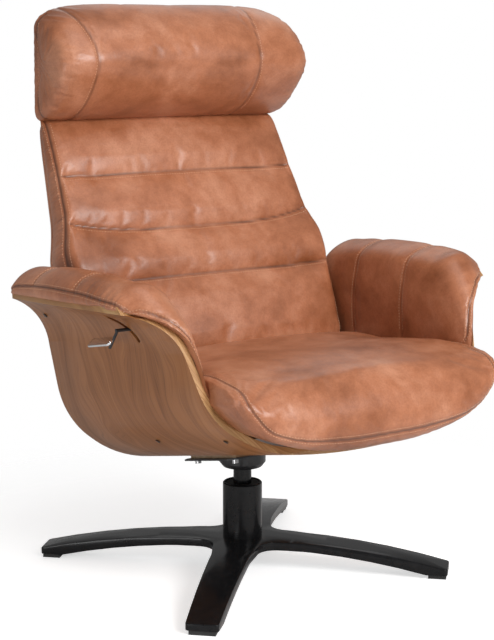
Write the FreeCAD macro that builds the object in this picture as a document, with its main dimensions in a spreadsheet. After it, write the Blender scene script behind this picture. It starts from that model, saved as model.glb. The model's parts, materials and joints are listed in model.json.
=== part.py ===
import FreeCAD, Part
import math
import os
import Sketcher

V = FreeCAD.Vector
doc = FreeCAD.newDocument("StarBaseSwivelRecliner")

# Driving dimensions in millimetres, angles in degrees.
# Frame: +Z up, the front of the chair looks along -Y, +X is its left-hand arm
# seen from the sitter. The origin is on the floor, under the swivel axis.
DIMENSIONS = [
    ("star_radius", 400), ("star_tip_width", 60), ("star_arm_width", 86), ("star_fillet", 38),
    ("star_hub_top", 62), ("star_tip_top", 20), ("star_tip_under", 8), ("star_hub_under", 46),
    ("glide_length", 34), ("glide_half_width", 24), ("glide_inset", 3), ("star_flat", 40),
    ("star_under_bend", 2.0), ("star_top_bend", 2.05),
    ("column_radius", 38), ("column_wall", 3), ("column_top", 168), ("column_floor", 6),
    ("column_lip", 2),
    ("spindle_radius", 17.5), ("spindle_gap", 0.08), ("spindle_foot", 76), ("spindle_chamfer", 2),
    ("bush_bottom", 138), ("bearing_radius", 30), ("bolt_radius", 8), ("bolt_head_radius", 15),
    ("bolt_head_height", 10), ("bolt_top", 66),
    ("cup_top_radius", 45), ("cup_low_radius", 21.5), ("cup_bottom", 195), ("spindle_top", 209),
    ("plate_gap", 5), ("plate_thick", 3), ("plate_half_width", 80), ("plate_front", -78),
    ("plate_rear", 97), ("plate_corner", 14), ("block_half_width", 62), ("block_front", -70),
    ("block_rear", 88), ("plate_bolt_radius", 6), ("plate_bolt_height", 8), ("plate_bolt_x", 55),
    ("plate_bolt_rear_y", 74), ("plate_bolt_front_y", -56),
    ("shell_thick", 13), ("shell_half_width", 412), ("shell_low", 201.5), ("shell_low_y", 122),
    ("shell_ramp", 0.218), ("shell_toe_in", 0.062), ("flange_toe_in", 0.022),
    ("toe_in_start", 5), ("toe_in_run", 300),
    ("shell_height", 347), ("flange_rear_z", 545), ("flange_slope", 0.0515),
    ("shell_rear_y", 122), ("shell_front_y", -358), ("shell_front_z", 320),
    ("shell_mid_y", -318), ("shell_mid_z", 428), ("shell_neck_y", -288), ("shell_neck_z", 505),
    ("shell_bend_y", -267), ("shell_bend_z", 541), ("shell_top_y", -231), ("shell_top_z", 563),
    ("pad_inner_x", 298.5), ("pad_rear_y", 146), ("pad_height", 48), ("pad_overhang", 4),
    ("seat_glide_angle", 12), ("seat_glide_travel", 50),
    ("rail_x", 125), ("rail_width", 16), ("rail_rear_y", 30), ("rail_front_y", -215),
    ("rail_rear_z", 256), ("runner_width", 30), ("runner_gap", 0.3), ("runner_lip", 3),
    ("runner_front_y", -190), ("runner_rear_y", 20),
    ("pan_half_width", 150), ("pan_bottom", 315), ("pan_front_y", -225), ("pan_rear_y", 40),
    ("back_angle", 27.5), ("back_foot_y", 115), ("back_foot_z", 388), ("back_panel_depth", 16),
    ("back_pivot_y", 90), ("back_pivot_z", 348), ("pivot_pin_radius", 6), ("pivot_clearance", 0.06),
    ("bracket_x", 215), ("bracket_thick", 6), ("bracket_head", 18), ("arm_gap", 0.5),
    ("recline_arm_reach", 120), ("recline_arm_depth", 22), ("cross_bar_size", 16), ("cross_bar_u", 40),
    ("post_x", 120), ("post_width", 20), ("post_thick", 4), ("post_angle", 19), ("post_clearance", 1),
    ("post_length", 190), ("headrest_pivot_y", 288), ("headrest_pivot_z", 893),
    ("headrest_bar_radius", 6), ("headrest_bar_half", 165), ("headrest_travel", 60),
    ("knuckle_width", 18), ("knuckle_half", 10), ("notch_half", 172), ("notch_front_y", 270),
    ("notch_rear_y", 303), ("notch_top_z", 919), ("notch_deep_y", 250), ("notch_deep_top", 897),
    ("headrest_half_width", 277),
    ("lever_y", -118), ("lever_z", 493), ("lever_reach", 56), ("lever_angle", 36),
    ("slot_width", 9), ("slot_low", 14), ("slot_high", 71), ("lever_rod_radius", 3),
    ("lever_hub_radius", 11), ("lever_pin_radius", 4), ("lever_inner_x", 314), ("lever_hub_thick", 7),
    ("lever_outer_x", 378), ("paddle_length", 76), ("paddle_width", 20), ("paddle_thick", 4),
    ("paddle_tilt", 38), ("plug_radius", 4.5), ("plug_height", 1.5),
    ("plug_gap", 0.88),
]
sheet = doc.addObject("Spreadsheet::Sheet", "dims")
for row, (name, value) in enumerate(DIMENSIONS, 1):
    sheet.set("A%d" % row, name)
    sheet.set("B%d" % row, str(value))
    sheet.setAlias("B%d" % row, name)
doc.recompute()


def d(name):
    """The number that the sheet holds under this alias."""
    return float(sheet.get(name))


def number(spec):
    """Value of a sum such as 'column_radius-column_wall' or '-plate_front+5'."""
    total = 0.0
    for sign, word in terms(spec):
        total += sign * (d(word) if word[0].isalpha() else float(word))
    return total


def terms(spec):
    text = str(spec).replace("-", "+-")
    found = []
    for word in text.split("+"):
        if not word:
            continue
        sign = -1.0 if word[0] == "-" else 1.0
        found.append((sign, word.lstrip("-")))
    return found


def formula(spec):
    """The same sum as an expression on the sheet's cells."""
    text = ""
    for sign, word in terms(spec):
        name = "dims." + word if word[0].isalpha() else word
        text += (" - " if sign < 0 else " + ") + name
    return text.strip(" +") if text.startswith(" +") else "0" + text


def origin_plane(body, role):
    for feature in body.Origin.OriginFeatures:
        if feature.Role == role:
            return feature
    raise RuntimeError("no plane " + role)


def profile(body, name, role, points):
    """A closed sketch of straight edges whose corners are bound to the sheet."""
    sketch = body.newObject("Sketcher::SketchObject", name)
    sketch.AttachmentSupport = [(origin_plane(body, role), "")]
    sketch.MapMode = "FlatFace"
    corners = [V(number(px), number(py), 0) for px, py in points]
    count = len(corners)
    for i in range(count):
        sketch.addGeometry(Part.LineSegment(corners[i], corners[(i + 1) % count]), False)
    for i in range(count):
        sketch.addConstraint(Sketcher.Constraint("Coincident", i, 2, (i + 1) % count, 1))
    for i, (px, py) in enumerate(points):
        k = sketch.addConstraint(Sketcher.Constraint("DistanceX", -1, 1, i, 1, corners[i].x))
        sketch.setExpression("Constraints[%d]" % k, formula(px))
        k = sketch.addConstraint(Sketcher.Constraint("DistanceY", -1, 1, i, 1, corners[i].y))
        sketch.setExpression("Constraints[%d]" % k, formula(py))
    return sketch


def turned(label, points):
    """A body of revolution about Z from a half profile (radius, height)."""
    body = doc.addObject("PartDesign::Body", label)
    body.Label = label
    sketch = profile(body, label + "_profile", "XZ_Plane", points)
    doc.recompute()
    turn = body.newObject("PartDesign::Revolution", label + "_turn")
    turn.Profile = sketch
    turn.ReferenceAxis = (sketch, ["V_Axis"])
    turn.Angle = 360
    sketch.Visibility = False
    doc.recompute()
    return body


def solid(label, shape):
    """A sub-part whose shape is made here from numbers read from the sheet."""
    if shape.ShapeType == "Compound" and len(shape.Solids) == 1:
        shape = shape.Solids[0]
    piece = doc.addObject("Part::Feature", label)
    piece.Label = label
    piece.Shape = shape
    piece.Placement = shape.Placement
    return piece


def mirrored(shape):
    return shape.mirror(V(0, 0, 0), V(1, 0, 0))


def chain(points, closed=True, steps=0):
    """Wire of lines and arcs. Items are points, or (through, end) pairs for arcs.

    With steps, each arc becomes that many straight runs, which keeps a soft form light.
    """
    edges = []
    start = points[0]
    here = start
    for item in points[1:]:
        if isinstance(item, tuple) and steps:
            run = Part.Arc(here, item[0], item[1]).discretize(steps + 1)
            for a, b in zip(run, run[1:]):
                edges.append(Part.LineSegment(a, b).toShape())
            here = item[1]
        elif isinstance(item, tuple):
            edges.append(Part.Arc(here, item[0], item[1]).toShape())
            here = item[1]
        else:
            edges.append(Part.LineSegment(here, item).toShape())
            here = item
    if closed and (here - start).Length > 1e-6:
        edges.append(Part.LineSegment(here, start).toShape())
    return Part.Wire(edges)


def block(x0, x1, y0, y1, z0, z1):
    return Part.makeBox(x1 - x0, y1 - y0, z1 - z0, V(x0, y0, z0))


def extruded_x(wire, x0, x1):
    face = Part.Face(wire)
    move = V(x1 - x0, 0, 0)
    return face.extrude(move)


def rod_x(radius, x0, x1, y, z):
    return Part.makeCylinder(radius, x1 - x0, V(x0, y, z), V(1, 0, 0))


# Star base: a star-shaped plate with rounded inner corners, cut from a turned
# arch, so that every arm rises from its tip to the hub.
def star_plan():
    reach = d("star_radius")
    tip = d("star_tip_width") / 2
    root = d("star_arm_width") / 2
    fillet = d("star_fillet")
    inner = root + fillet
    points = []
    for k in range(4):
        turn = math.radians(45 + 90 * k)
        cosine, sine = math.cos(turn), math.sin(turn)

        def place(a, b):
            return V(a * cosine - b * sine, a * sine + b * cosine, 0)

        corner = 6.0
        points.append((place(inner, -root), None))
        points.append((place(inner * 1.55, -(root * 0.55 + tip * 0.45)), None))
        points.append((place(reach - corner, -tip), None))
        points.append((place(reach, -tip + corner), place(reach - corner * 0.3, -tip + corner * 0.3)))
        points.append((place(reach, tip - corner), None))
        points.append((place(reach - corner, tip), place(reach - corner * 0.3, tip - corner * 0.3)))
        points.append((place(inner * 1.55, root * 0.55 + tip * 0.45), None))
        points.append((place(inner, root), None))
        half = fillet * (1 - math.sqrt(0.5))
        middle = place(root + half, root + half)
        turn2 = turn + math.pi / 2
        end = V(inner * math.cos(turn2) + root * math.sin(turn2),
                inner * math.sin(turn2) - root * math.cos(turn2), 0)
        points.append((end, middle))
    edges = []
    here = points[0][0]
    for end, through in points[1:]:
        if (end - here).Length < 1e-6:
            continue
        if through is None:
            edges.append(Part.LineSegment(here, end).toShape())
        else:
            edges.append(Part.Arc(here, through, end).toShape())
        here = end
    return Part.Wire(edges)


def drooping(start, end, high, low, bend, steps=6):
    """Points of an arch that falls from the hub to the tip, slowly at first."""
    points = []
    for k in range(steps + 1):
        share = k / steps
        points.append(V(start + (end - start) * share, 0, high - (high - low) * share ** bend))
    return points


def star_base_shape():
    reach = d("star_radius")
    column = d("column_radius") + 6
    lower = drooping(column, reach - d("star_flat"), d("star_hub_under"), d("star_tip_under"),
                     d("star_under_bend"))
    upper = drooping(column, reach + 5, d("star_hub_top"), d("star_tip_top"), d("star_top_bend"))
    outline = chain([V(0, 0, d("star_hub_under"))] + lower + [V(reach + 5, 0, d("star_tip_under"))]
                    + upper[::-1] + [V(0, 0, d("star_hub_top"))])
    arch = Part.Face(outline).revolve(V(0, 0, 0), V(0, 0, 1), 360)
    plan = Part.Face(star_plan()).extrude(V(0, 0, 120))
    star = arch.common(plan)
    hole = Part.makeCylinder(d("bolt_radius"), 80, V(0, 0, 30))
    return star.cut(hole).removeSplitter()


solid("star_base", star_base_shape())

# Four foot blocks under the tips, each with a narrower glide below it.
for label, turn in (("floor_glide_rear_left", 45), ("floor_glide_rear_right", 135),
                    ("floor_glide_front_right", 225), ("floor_glide_front_left", 315)):
    body = doc.addObject("PartDesign::Body", label)
    body.Label = label
    inner_end, outer_end = "star_radius-glide_inset-glide_length", "star_radius-glide_inset"
    sketch = profile(body, label + "_plan", "XY_Plane", [
        (inner_end, "-glide_half_width"), (outer_end, "-glide_half_width"),
        (outer_end, "glide_half_width"), (inner_end, "glide_half_width")])
    doc.recompute()
    pad = body.newObject("PartDesign::Pad", label + "_pad")
    pad.Profile = sketch
    pad.setExpression("Length", "dims.star_tip_under")
    sketch.Visibility = False
    doc.recompute()
    body.Placement = FreeCAD.Placement(V(0, 0, 0), FreeCAD.Rotation(V(0, 0, 1), turn))

# Column, bush, bearing and centre bolt.
turned("base_column", [
    ("bolt_radius", "star_hub_top"), ("column_radius", "star_hub_top"),
    ("column_radius", "column_top-column_lip"), ("column_radius-column_lip", "column_top"),
    ("column_radius-column_wall", "column_top"),
    ("column_radius-column_wall", "star_hub_top+column_floor"),
    ("bolt_radius", "star_hub_top+column_floor")])
turned("column_bush", [
    ("spindle_radius+spindle_gap", "bush_bottom"), ("column_radius-column_wall", "bush_bottom"),
    ("column_radius-column_wall", "column_top-2"), ("spindle_radius+spindle_gap", "column_top-2")])
turned("thrust_bearing", [
    ("bolt_radius", "star_hub_top+column_floor"), ("bearing_radius", "star_hub_top+column_floor"),
    ("bearing_radius", "spindle_foot"), ("bolt_radius", "spindle_foot")])
turned("hub_bolt", [
    ("0", "star_hub_under-bolt_head_height"), ("bolt_head_radius", "star_hub_under-bolt_head_height"),
    ("bolt_head_radius", "star_hub_under"), ("bolt_radius", "star_hub_under"),
    ("bolt_radius", "bolt_top"), ("0", "bolt_top")])
turned("spindle", [
    ("0", "spindle_foot"), ("spindle_radius-spindle_chamfer", "spindle_foot"),
    ("spindle_radius", "spindle_foot+spindle_chamfer"), ("spindle_radius", "spindle_top"),
    ("0", "spindle_top")])
# Bent plywood shell: one canonical half section, scaled in height as the
# bottom rises towards the front while the arm flanges stay nearly level.
SECTION = [
    (0, 0), (140, 11), (203, 29), (262, 66), (308, 120), (328, 179), (341, 256), (363, 311), (412, 347),
]


# Half width and other x places of the shell, pads, seat and back are drawn for this half width.
DRAWN_HALF_WIDTH = 412.0


def at_width(x):
    """A drawn x, moved with the half width that the sheet holds."""
    return x * d("shell_half_width") / DRAWN_HALF_WIDTH


def low_line(y):
    run = d("shell_low_y") - y
    return d("shell_low") + d("shell_ramp") * run


def flange_line(y):
    return d("flange_rear_z") + d("flange_slope") * (137 - y)


def narrowing(x, y):
    """Walls lean in towards the front, the flange rather less."""
    run = min(1.0, max(0.0, -(y + d("toe_in_start")) / d("toe_in_run")))
    share = run * run * (3 - 2 * run)
    out = min(1.0, max(0.0, (x - 341.0) / 71.0))
    return 1.0 - share * (d("shell_toe_in") * (1 - out) + d("flange_toe_in") * out)


def section_points(y, offset):
    """Half section at y, moved inwards by offset along its own normal."""
    base = low_line(y)
    scale = (flange_line(y) - base) / d("shell_height")
    raw = [(at_width(x * narrowing(x, y)), base + scale * rise) for x, rise in SECTION]
    found = []
    for i, (x, z) in enumerate(raw):
        x0, z0 = raw[i - 1] if i > 0 else (-raw[1][0], raw[1][1])
        x1, z1 = raw[i + 1] if i + 1 < len(raw) else (2 * x - raw[i - 1][0], 2 * z - raw[i - 1][1] - 4)
        dx, dz = x1 - x0, z1 - z0
        size = math.hypot(dx, dz)
        found.append((x - dz / size * offset, z + dx / size * offset))
    if offset > 0:
        found[-1] = (raw[-1][0], found[-1][1] + 1.0)
    return found


def shell_wire(y, offset, side_x, top_z):
    """Closed section at y: three arcs a side, a straight wall, and the space above it."""
    half = section_points(y, offset)
    right = [V(x, y, z) for x, z in half]
    left = [V(-x, y, z) for x, z in half]
    ends = [right[8]]
    if side_x > 0:
        ends.append(V(side_x, y, right[8].z))
        ends.append(V(side_x, y, top_z))
        ends.append(V(-side_x, y, top_z))
        ends.append(V(-side_x, y, left[8].z))
    else:
        ends.append(V(right[8].x, y, top_z))
        ends.append(V(left[8].x, y, top_z))
    return chain([
        left[8], (left[7], left[6]), left[5], (left[4], left[3]), (left[2], left[1]),
        (right[0], right[1]), (right[2], right[3]), (right[4], right[5]), right[6],
        (right[7], right[8])] + ends[1:])


LOFT_Y = (170, 0, -75, -150, -225, -300, -400)
outer_volume = Part.makeLoft([shell_wire(y, 0, 0, 660) for y in LOFT_Y], True, True)
inner_volume = Part.makeLoft(
    [shell_wire(y, d("shell_thick"), d("shell_half_width") + 40, 760) for y in LOFT_Y], True, True)

side_profile = chain([
    V(0, d("shell_rear_y"), 150), V(0, d("shell_rear_y") + 28, 628),
    V(0, d("shell_top_y") + 28, 628), V(0, d("shell_top_y") + 20, 580),
    V(0, d("shell_top_y"), d("shell_top_z")),
    (V(0, d("shell_bend_y"), d("shell_bend_z")), V(0, d("shell_neck_y"), d("shell_neck_z"))),
    (V(0, d("shell_mid_y"), d("shell_mid_z")), V(0, d("shell_front_y"), d("shell_front_z"))),
    V(0, d("shell_front_y"), 150),
])
side_reach = d("shell_half_width") + 38
side_cut = extruded_x(side_profile, -side_reach, side_reach)
side_cut.translate(V(-side_reach, 0, 0))
shell = outer_volume.common(side_cut).cut(inner_volume)

# Curved slot for the release lever in the right-hand wall (-X).
pivot_y, pivot_z = d("lever_y"), d("lever_z")


def around_lever(radius, angle, x):
    turn = math.radians(angle)
    return V(x, pivot_y - radius * math.cos(turn), pivot_z + radius * math.sin(turn))


slot_x = at_width(-396)
slot_out = d("lever_reach") + d("slot_width") / 2
slot_in = d("lever_reach") - d("slot_width") / 2
slot_mid = (d("slot_low") + d("slot_high")) / 2
slot_wire = chain([
    around_lever(slot_in, d("slot_low"), slot_x),
    (around_lever(slot_in, slot_mid, slot_x), around_lever(slot_in, d("slot_high"), slot_x)),
    (around_lever(d("lever_reach"), d("slot_high") + 4, slot_x), around_lever(slot_out, d("slot_high"), slot_x)),
    (around_lever(slot_out, slot_mid, slot_x), around_lever(slot_out, d("slot_low"), slot_x)),
    (around_lever(d("lever_reach"), d("slot_low") - 4, slot_x), around_lever(slot_in, d("slot_low"), slot_x)),
], False)
slot_tool = Part.Face(slot_wire).extrude(V(at_width(96), 0, 0))
shell = shell.cut(slot_tool)
solid("shell", shell)

# Round cover plugs of the fixing screws, seated on the outside of the shell.
def plug_shape(x, y):
    """A flat disc that touches the outside of the shell below x, y."""
    def surface(at_x):
        probe = Part.LineSegment(V(at_x, y, 100), V(at_x, y, 620)).toShape().common(outer_volume)
        return V(at_x, y, probe.BoundBox.ZMin)

    along = surface(x + 3) - surface(x - 3)
    normal = V(along.z, 0, -along.x).normalize()
    return Part.makeCylinder(d("plug_radius"), d("plug_height"), surface(x) + normal * d("plug_gap"), normal)


for label, x, y in (("shell_plug_front", 240, -296), ("shell_plug_middle", 252, -98),
                    ("shell_plug_rear", 366, 104)):
    plug = plug_shape(at_width(x), y)
    solid(label + "_left", plug)
    solid(label + "_right", mirrored(plug))

# Mechanism plate, parallel to the bottom of the shell, with the block that
# fills up to the plywood and four bolt heads below it.
ramp_angle = math.degrees(math.atan(d("shell_ramp")))
plate_turn = FreeCAD.Rotation(V(1, 0, 0), -ramp_angle)
plate_low = low_line(0) - (d("plate_gap") + d("plate_thick")) / math.cos(math.radians(ramp_angle))
body = doc.addObject("PartDesign::Body", "mechanism_plate")
body.Label = "mechanism_plate"
sketch = profile(body, "mechanism_plate_plan", "XY_Plane", [
    ("-plate_half_width", "plate_front+plate_corner"), ("-plate_half_width+plate_corner", "plate_front"),
    ("plate_half_width-plate_corner", "plate_front"), ("plate_half_width", "plate_front+plate_corner"),
    ("plate_half_width", "plate_rear-plate_corner"), ("plate_half_width-plate_corner", "plate_rear"),
    ("-plate_half_width+plate_corner", "plate_rear"), ("-plate_half_width", "plate_rear-plate_corner")])
doc.recompute()
pad = body.newObject("PartDesign::Pad", "mechanism_plate_pad")
pad.Profile = sketch
pad.setExpression("Length", "dims.plate_thick")
sketch.Visibility = False
doc.recompute()
body.Placement = FreeCAD.Placement(V(0, 0, plate_low), plate_turn)

filler = block(-d("block_half_width"), d("block_half_width"), d("block_front"), d("block_rear"),
               d("plate_thick"), 40)
filler.Placement = FreeCAD.Placement(V(0, 0, plate_low), plate_turn)
solid("mount_block", filler.cut(outer_volume))

for label, sx, y_name in (("plate_bolt_rear_left", 1, "plate_bolt_rear_y"),
                          ("plate_bolt_rear_right", -1, "plate_bolt_rear_y"),
                          ("plate_bolt_front_left", 1, "plate_bolt_front_y"),
                          ("plate_bolt_front_right", -1, "plate_bolt_front_y")):
    bolt = doc.addObject("Part::Cylinder", label)
    bolt.Label = label
    bolt.setExpression("Radius", "dims.plate_bolt_radius")
    bolt.setExpression("Height", "dims.plate_bolt_height")
    foot = V(sx * d("plate_bolt_x"), d(y_name), -d("plate_bolt_height"))
    bolt.Placement = FreeCAD.Placement(V(0, 0, plate_low) + plate_turn.multVec(foot), plate_turn)

# Bowl that joins the spindle to the slanted plate.
bowl_half = chain([
    V(d("spindle_radius"), 0, d("cup_bottom")), V(d("cup_low_radius"), 0, d("cup_bottom")),
    V(d("cup_top_radius") - 7, 0, d("cup_bottom") + 5), V(d("cup_top_radius"), 0, d("spindle_top")),
    V(d("cup_top_radius"), 0, 245), V(0, 0, 245), V(0, 0, d("spindle_top")),
    V(d("spindle_radius"), 0, d("spindle_top"))])
bowl = Part.Face(bowl_half).revolve(V(0, 0, 0), V(0, 0, 1), 360)
above = block(-90, 90, -120, 120, 0, 80)
above.Placement = FreeCAD.Placement(V(0, 0, plate_low), plate_turn)
solid("spindle_cup", bowl.cut(above))

# Arm pads. The first sections stand across the arm, the last ones fan round
# the front of the arm about one point beside the seat.
FAN_Y, FAN_Z = -190.0, 388.0


def pad_section(place, low, inner_x, inner, crown_in, crown, crown_out, seam, foot, root, wall):
    """Wire through named points given as (x, r), placed in space by place()."""
    return chain([
        place(inner_x, low), place(inner_x, inner),
        (place(*crown_in[0]), place(*crown_in[1])),
        (place(*crown[0]), place(*crown[1])),
        (place(*crown_out[0]), place(*crown_out[1])),
        place(*seam), (place(*foot), place(*root)), place(*wall),
    ], steps=4)


def standing(y):
    return lambda x, r: V(at_width(x), y, r)


def fanned(angle):
    turn = math.radians(angle)
    return lambda x, r: V(at_width(x), FAN_Y + r * math.cos(turn), FAN_Z + r * math.sin(turn))


def straight_pad_section(y, top, low, inner_x):
    flange = flange_line(y)
    rim = flange + d("shell_thick")
    out = DRAWN_HALF_WIDTH * narrowing(DRAWN_HALF_WIDTH, y) + d("pad_overhang")
    return pad_section(
        standing(y), low, inner_x, top - 62,
        ((inner_x + 10.5, top - 26), (338, top - 6)),
        ((372, top + 0.5), (out - 8, top - 17)),
        ((out + 2, top - 32), (out - 1, rim - 4)),
        (out - 16, flange + 5),
        (368, flange - 14), (334, flange - 62), (318, low))


def fan_pad_section(angle, crown, out_x, low, inner_x):
    place = fanned(angle)
    half = (out_x - inner_x) / 2
    mid = inner_x + half
    return pad_section(
        place, low, inner_x, crown - half * 1.15,
        ((inner_x + half * 0.25, crown - half * 0.4), (mid - half * 0.3, crown - half * 0.05)),
        ((mid + half * 0.25, crown), (mid + half * 0.66, crown - half * 0.2)),
        ((out_x, crown - half * 0.55), (out_x - 0.5, crown - half * 0.9)),
        (out_x - 3, crown - half * 1.1),
        (min(out_x - 6, 352), crown - half * 1.5), (min(out_x - 9, 324), crown - half * 2.1 - 8),
        (312, low))


def arm_pad_shape():
    wires = [
        straight_pad_section(d("pad_rear_y"), 588, 372, d("pad_inner_x")),
        straight_pad_section(d("pad_rear_y") - 9, 596, 372, d("pad_inner_x")),
        straight_pad_section(90, 605, 376, d("pad_inner_x")),
        straight_pad_section(20, 612, 384, d("pad_inner_x") - 1),
        straight_pad_section(-60, 615, 396, d("pad_inner_x") - 2),
        straight_pad_section(-130, 615, 408, d("pad_inner_x") - 4),
        straight_pad_section(-180, 612, 416, d("pad_inner_x") - 5),
        fan_pad_section(97, 222, 406, 30, d("pad_inner_x") - 5.5),
        fan_pad_section(106, 207, 392, 28, d("pad_inner_x") - 6),
        fan_pad_section(117, 190, 366, 25, d("pad_inner_x") - 6.5),
        fan_pad_section(129, 172, 345, 22, d("pad_inner_x") - 7),
        fan_pad_section(142, 156, 332, 20, d("pad_inner_x") - 7),
        fan_pad_section(154, 144, 323, 20, d("pad_inner_x") - 7),
        fan_pad_section(165, 138, 318, 20, d("pad_inner_x") - 7),
    ]
    blob = Part.makeLoft(wires, True, True)
    return blob.common(inner_volume)


pad_left = arm_pad_shape()
pad_right = mirrored(pad_left)
pocket = block(at_width(-400), -at_width(d("lever_inner_x")) + 7, pivot_y - 72, pivot_y + 30,
               pivot_z - 22, pivot_z + 58)
pad_right = pad_right.cut(pocket)
solid("arm_pad_left", pad_left)
solid("arm_pad_right", pad_right)

# Guide rails of the seat, standing on the inside of the shell.
slope = math.tan(math.radians(d("seat_glide_angle")))


def rail_top(y):
    return d("rail_rear_z") + (d("rail_rear_y") - y) * slope


rail_wire = chain([
    V(0, d("rail_rear_y"), 190), V(0, d("rail_rear_y"), rail_top(d("rail_rear_y"))),
    V(0, d("rail_front_y"), rail_top(d("rail_front_y"))), V(0, d("rail_front_y"), 190)])
rail = Part.Face(rail_wire).extrude(V(d("rail_width"), 0, 0))
rail.translate(V(d("rail_x") - d("rail_width") / 2, 0, 0))
rail = rail.common(inner_volume)
solid("seat_rail_left", rail)
solid("seat_rail_right", mirrored(rail))

# Seat cushion: front roll hangs over the shell's front edge, the underside
# follows the curve of the shell.
SEAT_SECTIONS = [
    # x, rear foot, rear top, top middle, front top, roll 1, nose, roll 2, lower seam
    (0, (52, 335), (30, 418), (-150, 455), (-330, 459), (-408, 441), (-441, 390), (-436, 345), (-415, 325)),
    (100, (52, 335), (30, 417), (-150, 453), (-330, 458), (-407, 440), (-440, 390), (-434, 347), (-413, 328)),
    (196, (52, 342), (30, 413), (-150, 447), (-332, 456), (-406, 439), (-435, 393), (-428, 362), (-409, 351)),
    (243, (52, 362), (30, 409), (-150, 442), (-335, 455), (-402, 439), (-425, 405), (-417, 383), (-400, 372)),
    (275, (50, 388), (30, 405), (-150, 437), (-338, 454), (-394, 441), (-409, 424), (-404, 413), (-391, 407)),
    (288, (46, 392), (32, 399), (-150, 431), (-342, 450), (-374, 445), (-387, 437), (-385, 432), (-378, 429)),
]


def seat_wire(x, row):
    foot, rear, top, front, roll, nose, under, seam = [V(at_width(x), y, z) for y, z in row]
    return chain([foot, rear, (top, front), (roll, nose), (under, seam)], steps=5)


seat_rows = [(-row[0], row[1:]) for row in reversed(SEAT_SECTIONS[1:])]
seat_rows += [(row[0], row[1:]) for row in SEAT_SECTIONS]
seat_cushion = Part.makeLoft([seat_wire(x, row) for x, row in seat_rows], True, True)
solid("seat_cushion", seat_cushion)

pan = block(-d("pan_half_width"), d("pan_half_width"), d("pan_front_y"), d("pan_rear_y"),
            d("pan_bottom"), 340)
solid("seat_pan", pan.cut(seat_cushion))

gap = d("runner_gap")
runner_wire = chain([
    V(0, d("runner_rear_y"), rail_top(d("runner_rear_y")) - d("runner_lip")),
    V(0, d("runner_rear_y"), d("pan_bottom")), V(0, d("runner_front_y"), d("pan_bottom")),
    V(0, d("runner_front_y"), rail_top(d("runner_front_y")) - d("runner_lip"))])
runner = Part.Face(runner_wire).extrude(V(d("runner_width"), 0, 0))
runner.translate(V(d("rail_x") - d("runner_width") / 2, 0, 0))
groove_wire = chain([
    V(0, 300, rail_top(300) + gap), V(0, -500, rail_top(-500) + gap),
    V(0, -500, rail_top(-500) - 40), V(0, 300, rail_top(300) - 40)])
groove = Part.Face(groove_wire).extrude(V(d("rail_width") + 2 * gap, 0, 0))
groove.translate(V(d("rail_x") - d("rail_width") / 2 - gap, 0, 0))
runner = runner.cut(groove)
solid("seat_runner_left", runner)
solid("seat_runner_right", mirrored(runner))

# Backrest, in its own slanted directions: u runs up the back, v out of its front.
back_turn = math.radians(d("back_angle"))


def on_back(x, u, v):
    return V(x, d("back_foot_y") + u * math.sin(back_turn) - v * math.cos(back_turn),
             d("back_foot_z") + u * math.cos(back_turn) + v * math.sin(back_turn))


BACK_SECTIONS = [
    # u, half width, rear v, seam v, corner inset, corner v, centre v
    (-15, 274, 0, 48, 16, 55, 62),
    (2, 283, 0, 62, 16, 74, 86),
    (40, 287, 0, 65, 20, 84, 95),
    (85, 290, 0, 67, 24, 91, 99),
    (125, 292, 0, 67, 24, 93, 98),
    (153, 295, 0, 66, 22, 88, 89),
    (188, 298, 0, 69, 22, 96, 99),
    (225, 297, 1, 72, 18, 93, 98),
    (257, 288, 3, 72, 15, 83, 88),
    (295, 279, 6, 74, 15, 85, 96),
    (332, 276, 11, 75, 15, 85, 95),
    (368, 273, 15, 75, 14, 82, 86),
    (405, 271, 21, 75, 14, 84, 93),
    (450, 269, 29, 74, 14, 82, 91),
    (480, 267, 36, 70, 13, 76, 86),
    (494, 264, 40, 60, 11, 64, 71),
]


def back_front_wire(row):
    u, half, rear, seam, inset, corner, centre = row
    half = at_width(half)
    split = rear + d("back_panel_depth")
    p = [on_back(-half - 1, u, split), on_back(half + 1, u, split)]
    side = on_back(half - 1.5, u, (split + seam) / 2)
    seam_right = on_back(half, u, seam)
    corner_mid = on_back(half - inset * 0.24, u, seam + (corner - seam) * 0.66)
    corner_right = on_back(half - inset, u, corner)
    corner_left = on_back(-half + inset, u, corner)
    corner_mid_left = on_back(-half + inset * 0.24, u, seam + (corner - seam) * 0.66)
    seam_left = on_back(-half, u, seam)
    side_left = on_back(-half + 1.5, u, (split + seam) / 2)
    return chain([p[0], p[1], (side, seam_right), (corner_mid, corner_right),
                  (on_back(0, u, centre), corner_left), (corner_mid_left, seam_left),
                  (side_left, p[0])], False, steps=4)


def back_panel_wire(row):
    u, half, rear = row[0], at_width(row[1]), row[2]
    split = rear + d("back_panel_depth") - 0.15
    edge = half + 1
    return chain([
        on_back(-edge, u, split), on_back(edge, u, split), on_back(edge - 1, u, rear + 8),
        (on_back(edge - 3.4, u, rear + 2.3), on_back(edge - 9, u, rear)),
        on_back(-edge + 9, u, rear),
        (on_back(-edge + 3.4, u, rear + 2.3), on_back(-edge + 1, u, rear + 8)),
    ], steps=3)


back_cushion = Part.makeLoft([back_front_wire(row) for row in BACK_SECTIONS], True, True)
back_panel = Part.makeLoft([back_panel_wire(row) for row in BACK_SECTIONS], True, True)

# Headrest posts slide in two channels that open at the top of the back.
head_y, head_z = d("headrest_pivot_y"), d("headrest_pivot_z")
post_turn = math.radians(d("post_angle"))


def post_block(x, half_width, half_thick, start, end):
    """Bar along the post direction; start and end are measured down from the hinge bar."""
    bar = block(-half_width, half_width, -half_thick, half_thick, -end, -start)
    bar.rotate(V(0, 0, 0), V(1, 0, 0), -d("post_angle"))
    bar.translate(V(x, head_y, head_z))
    return bar


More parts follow.
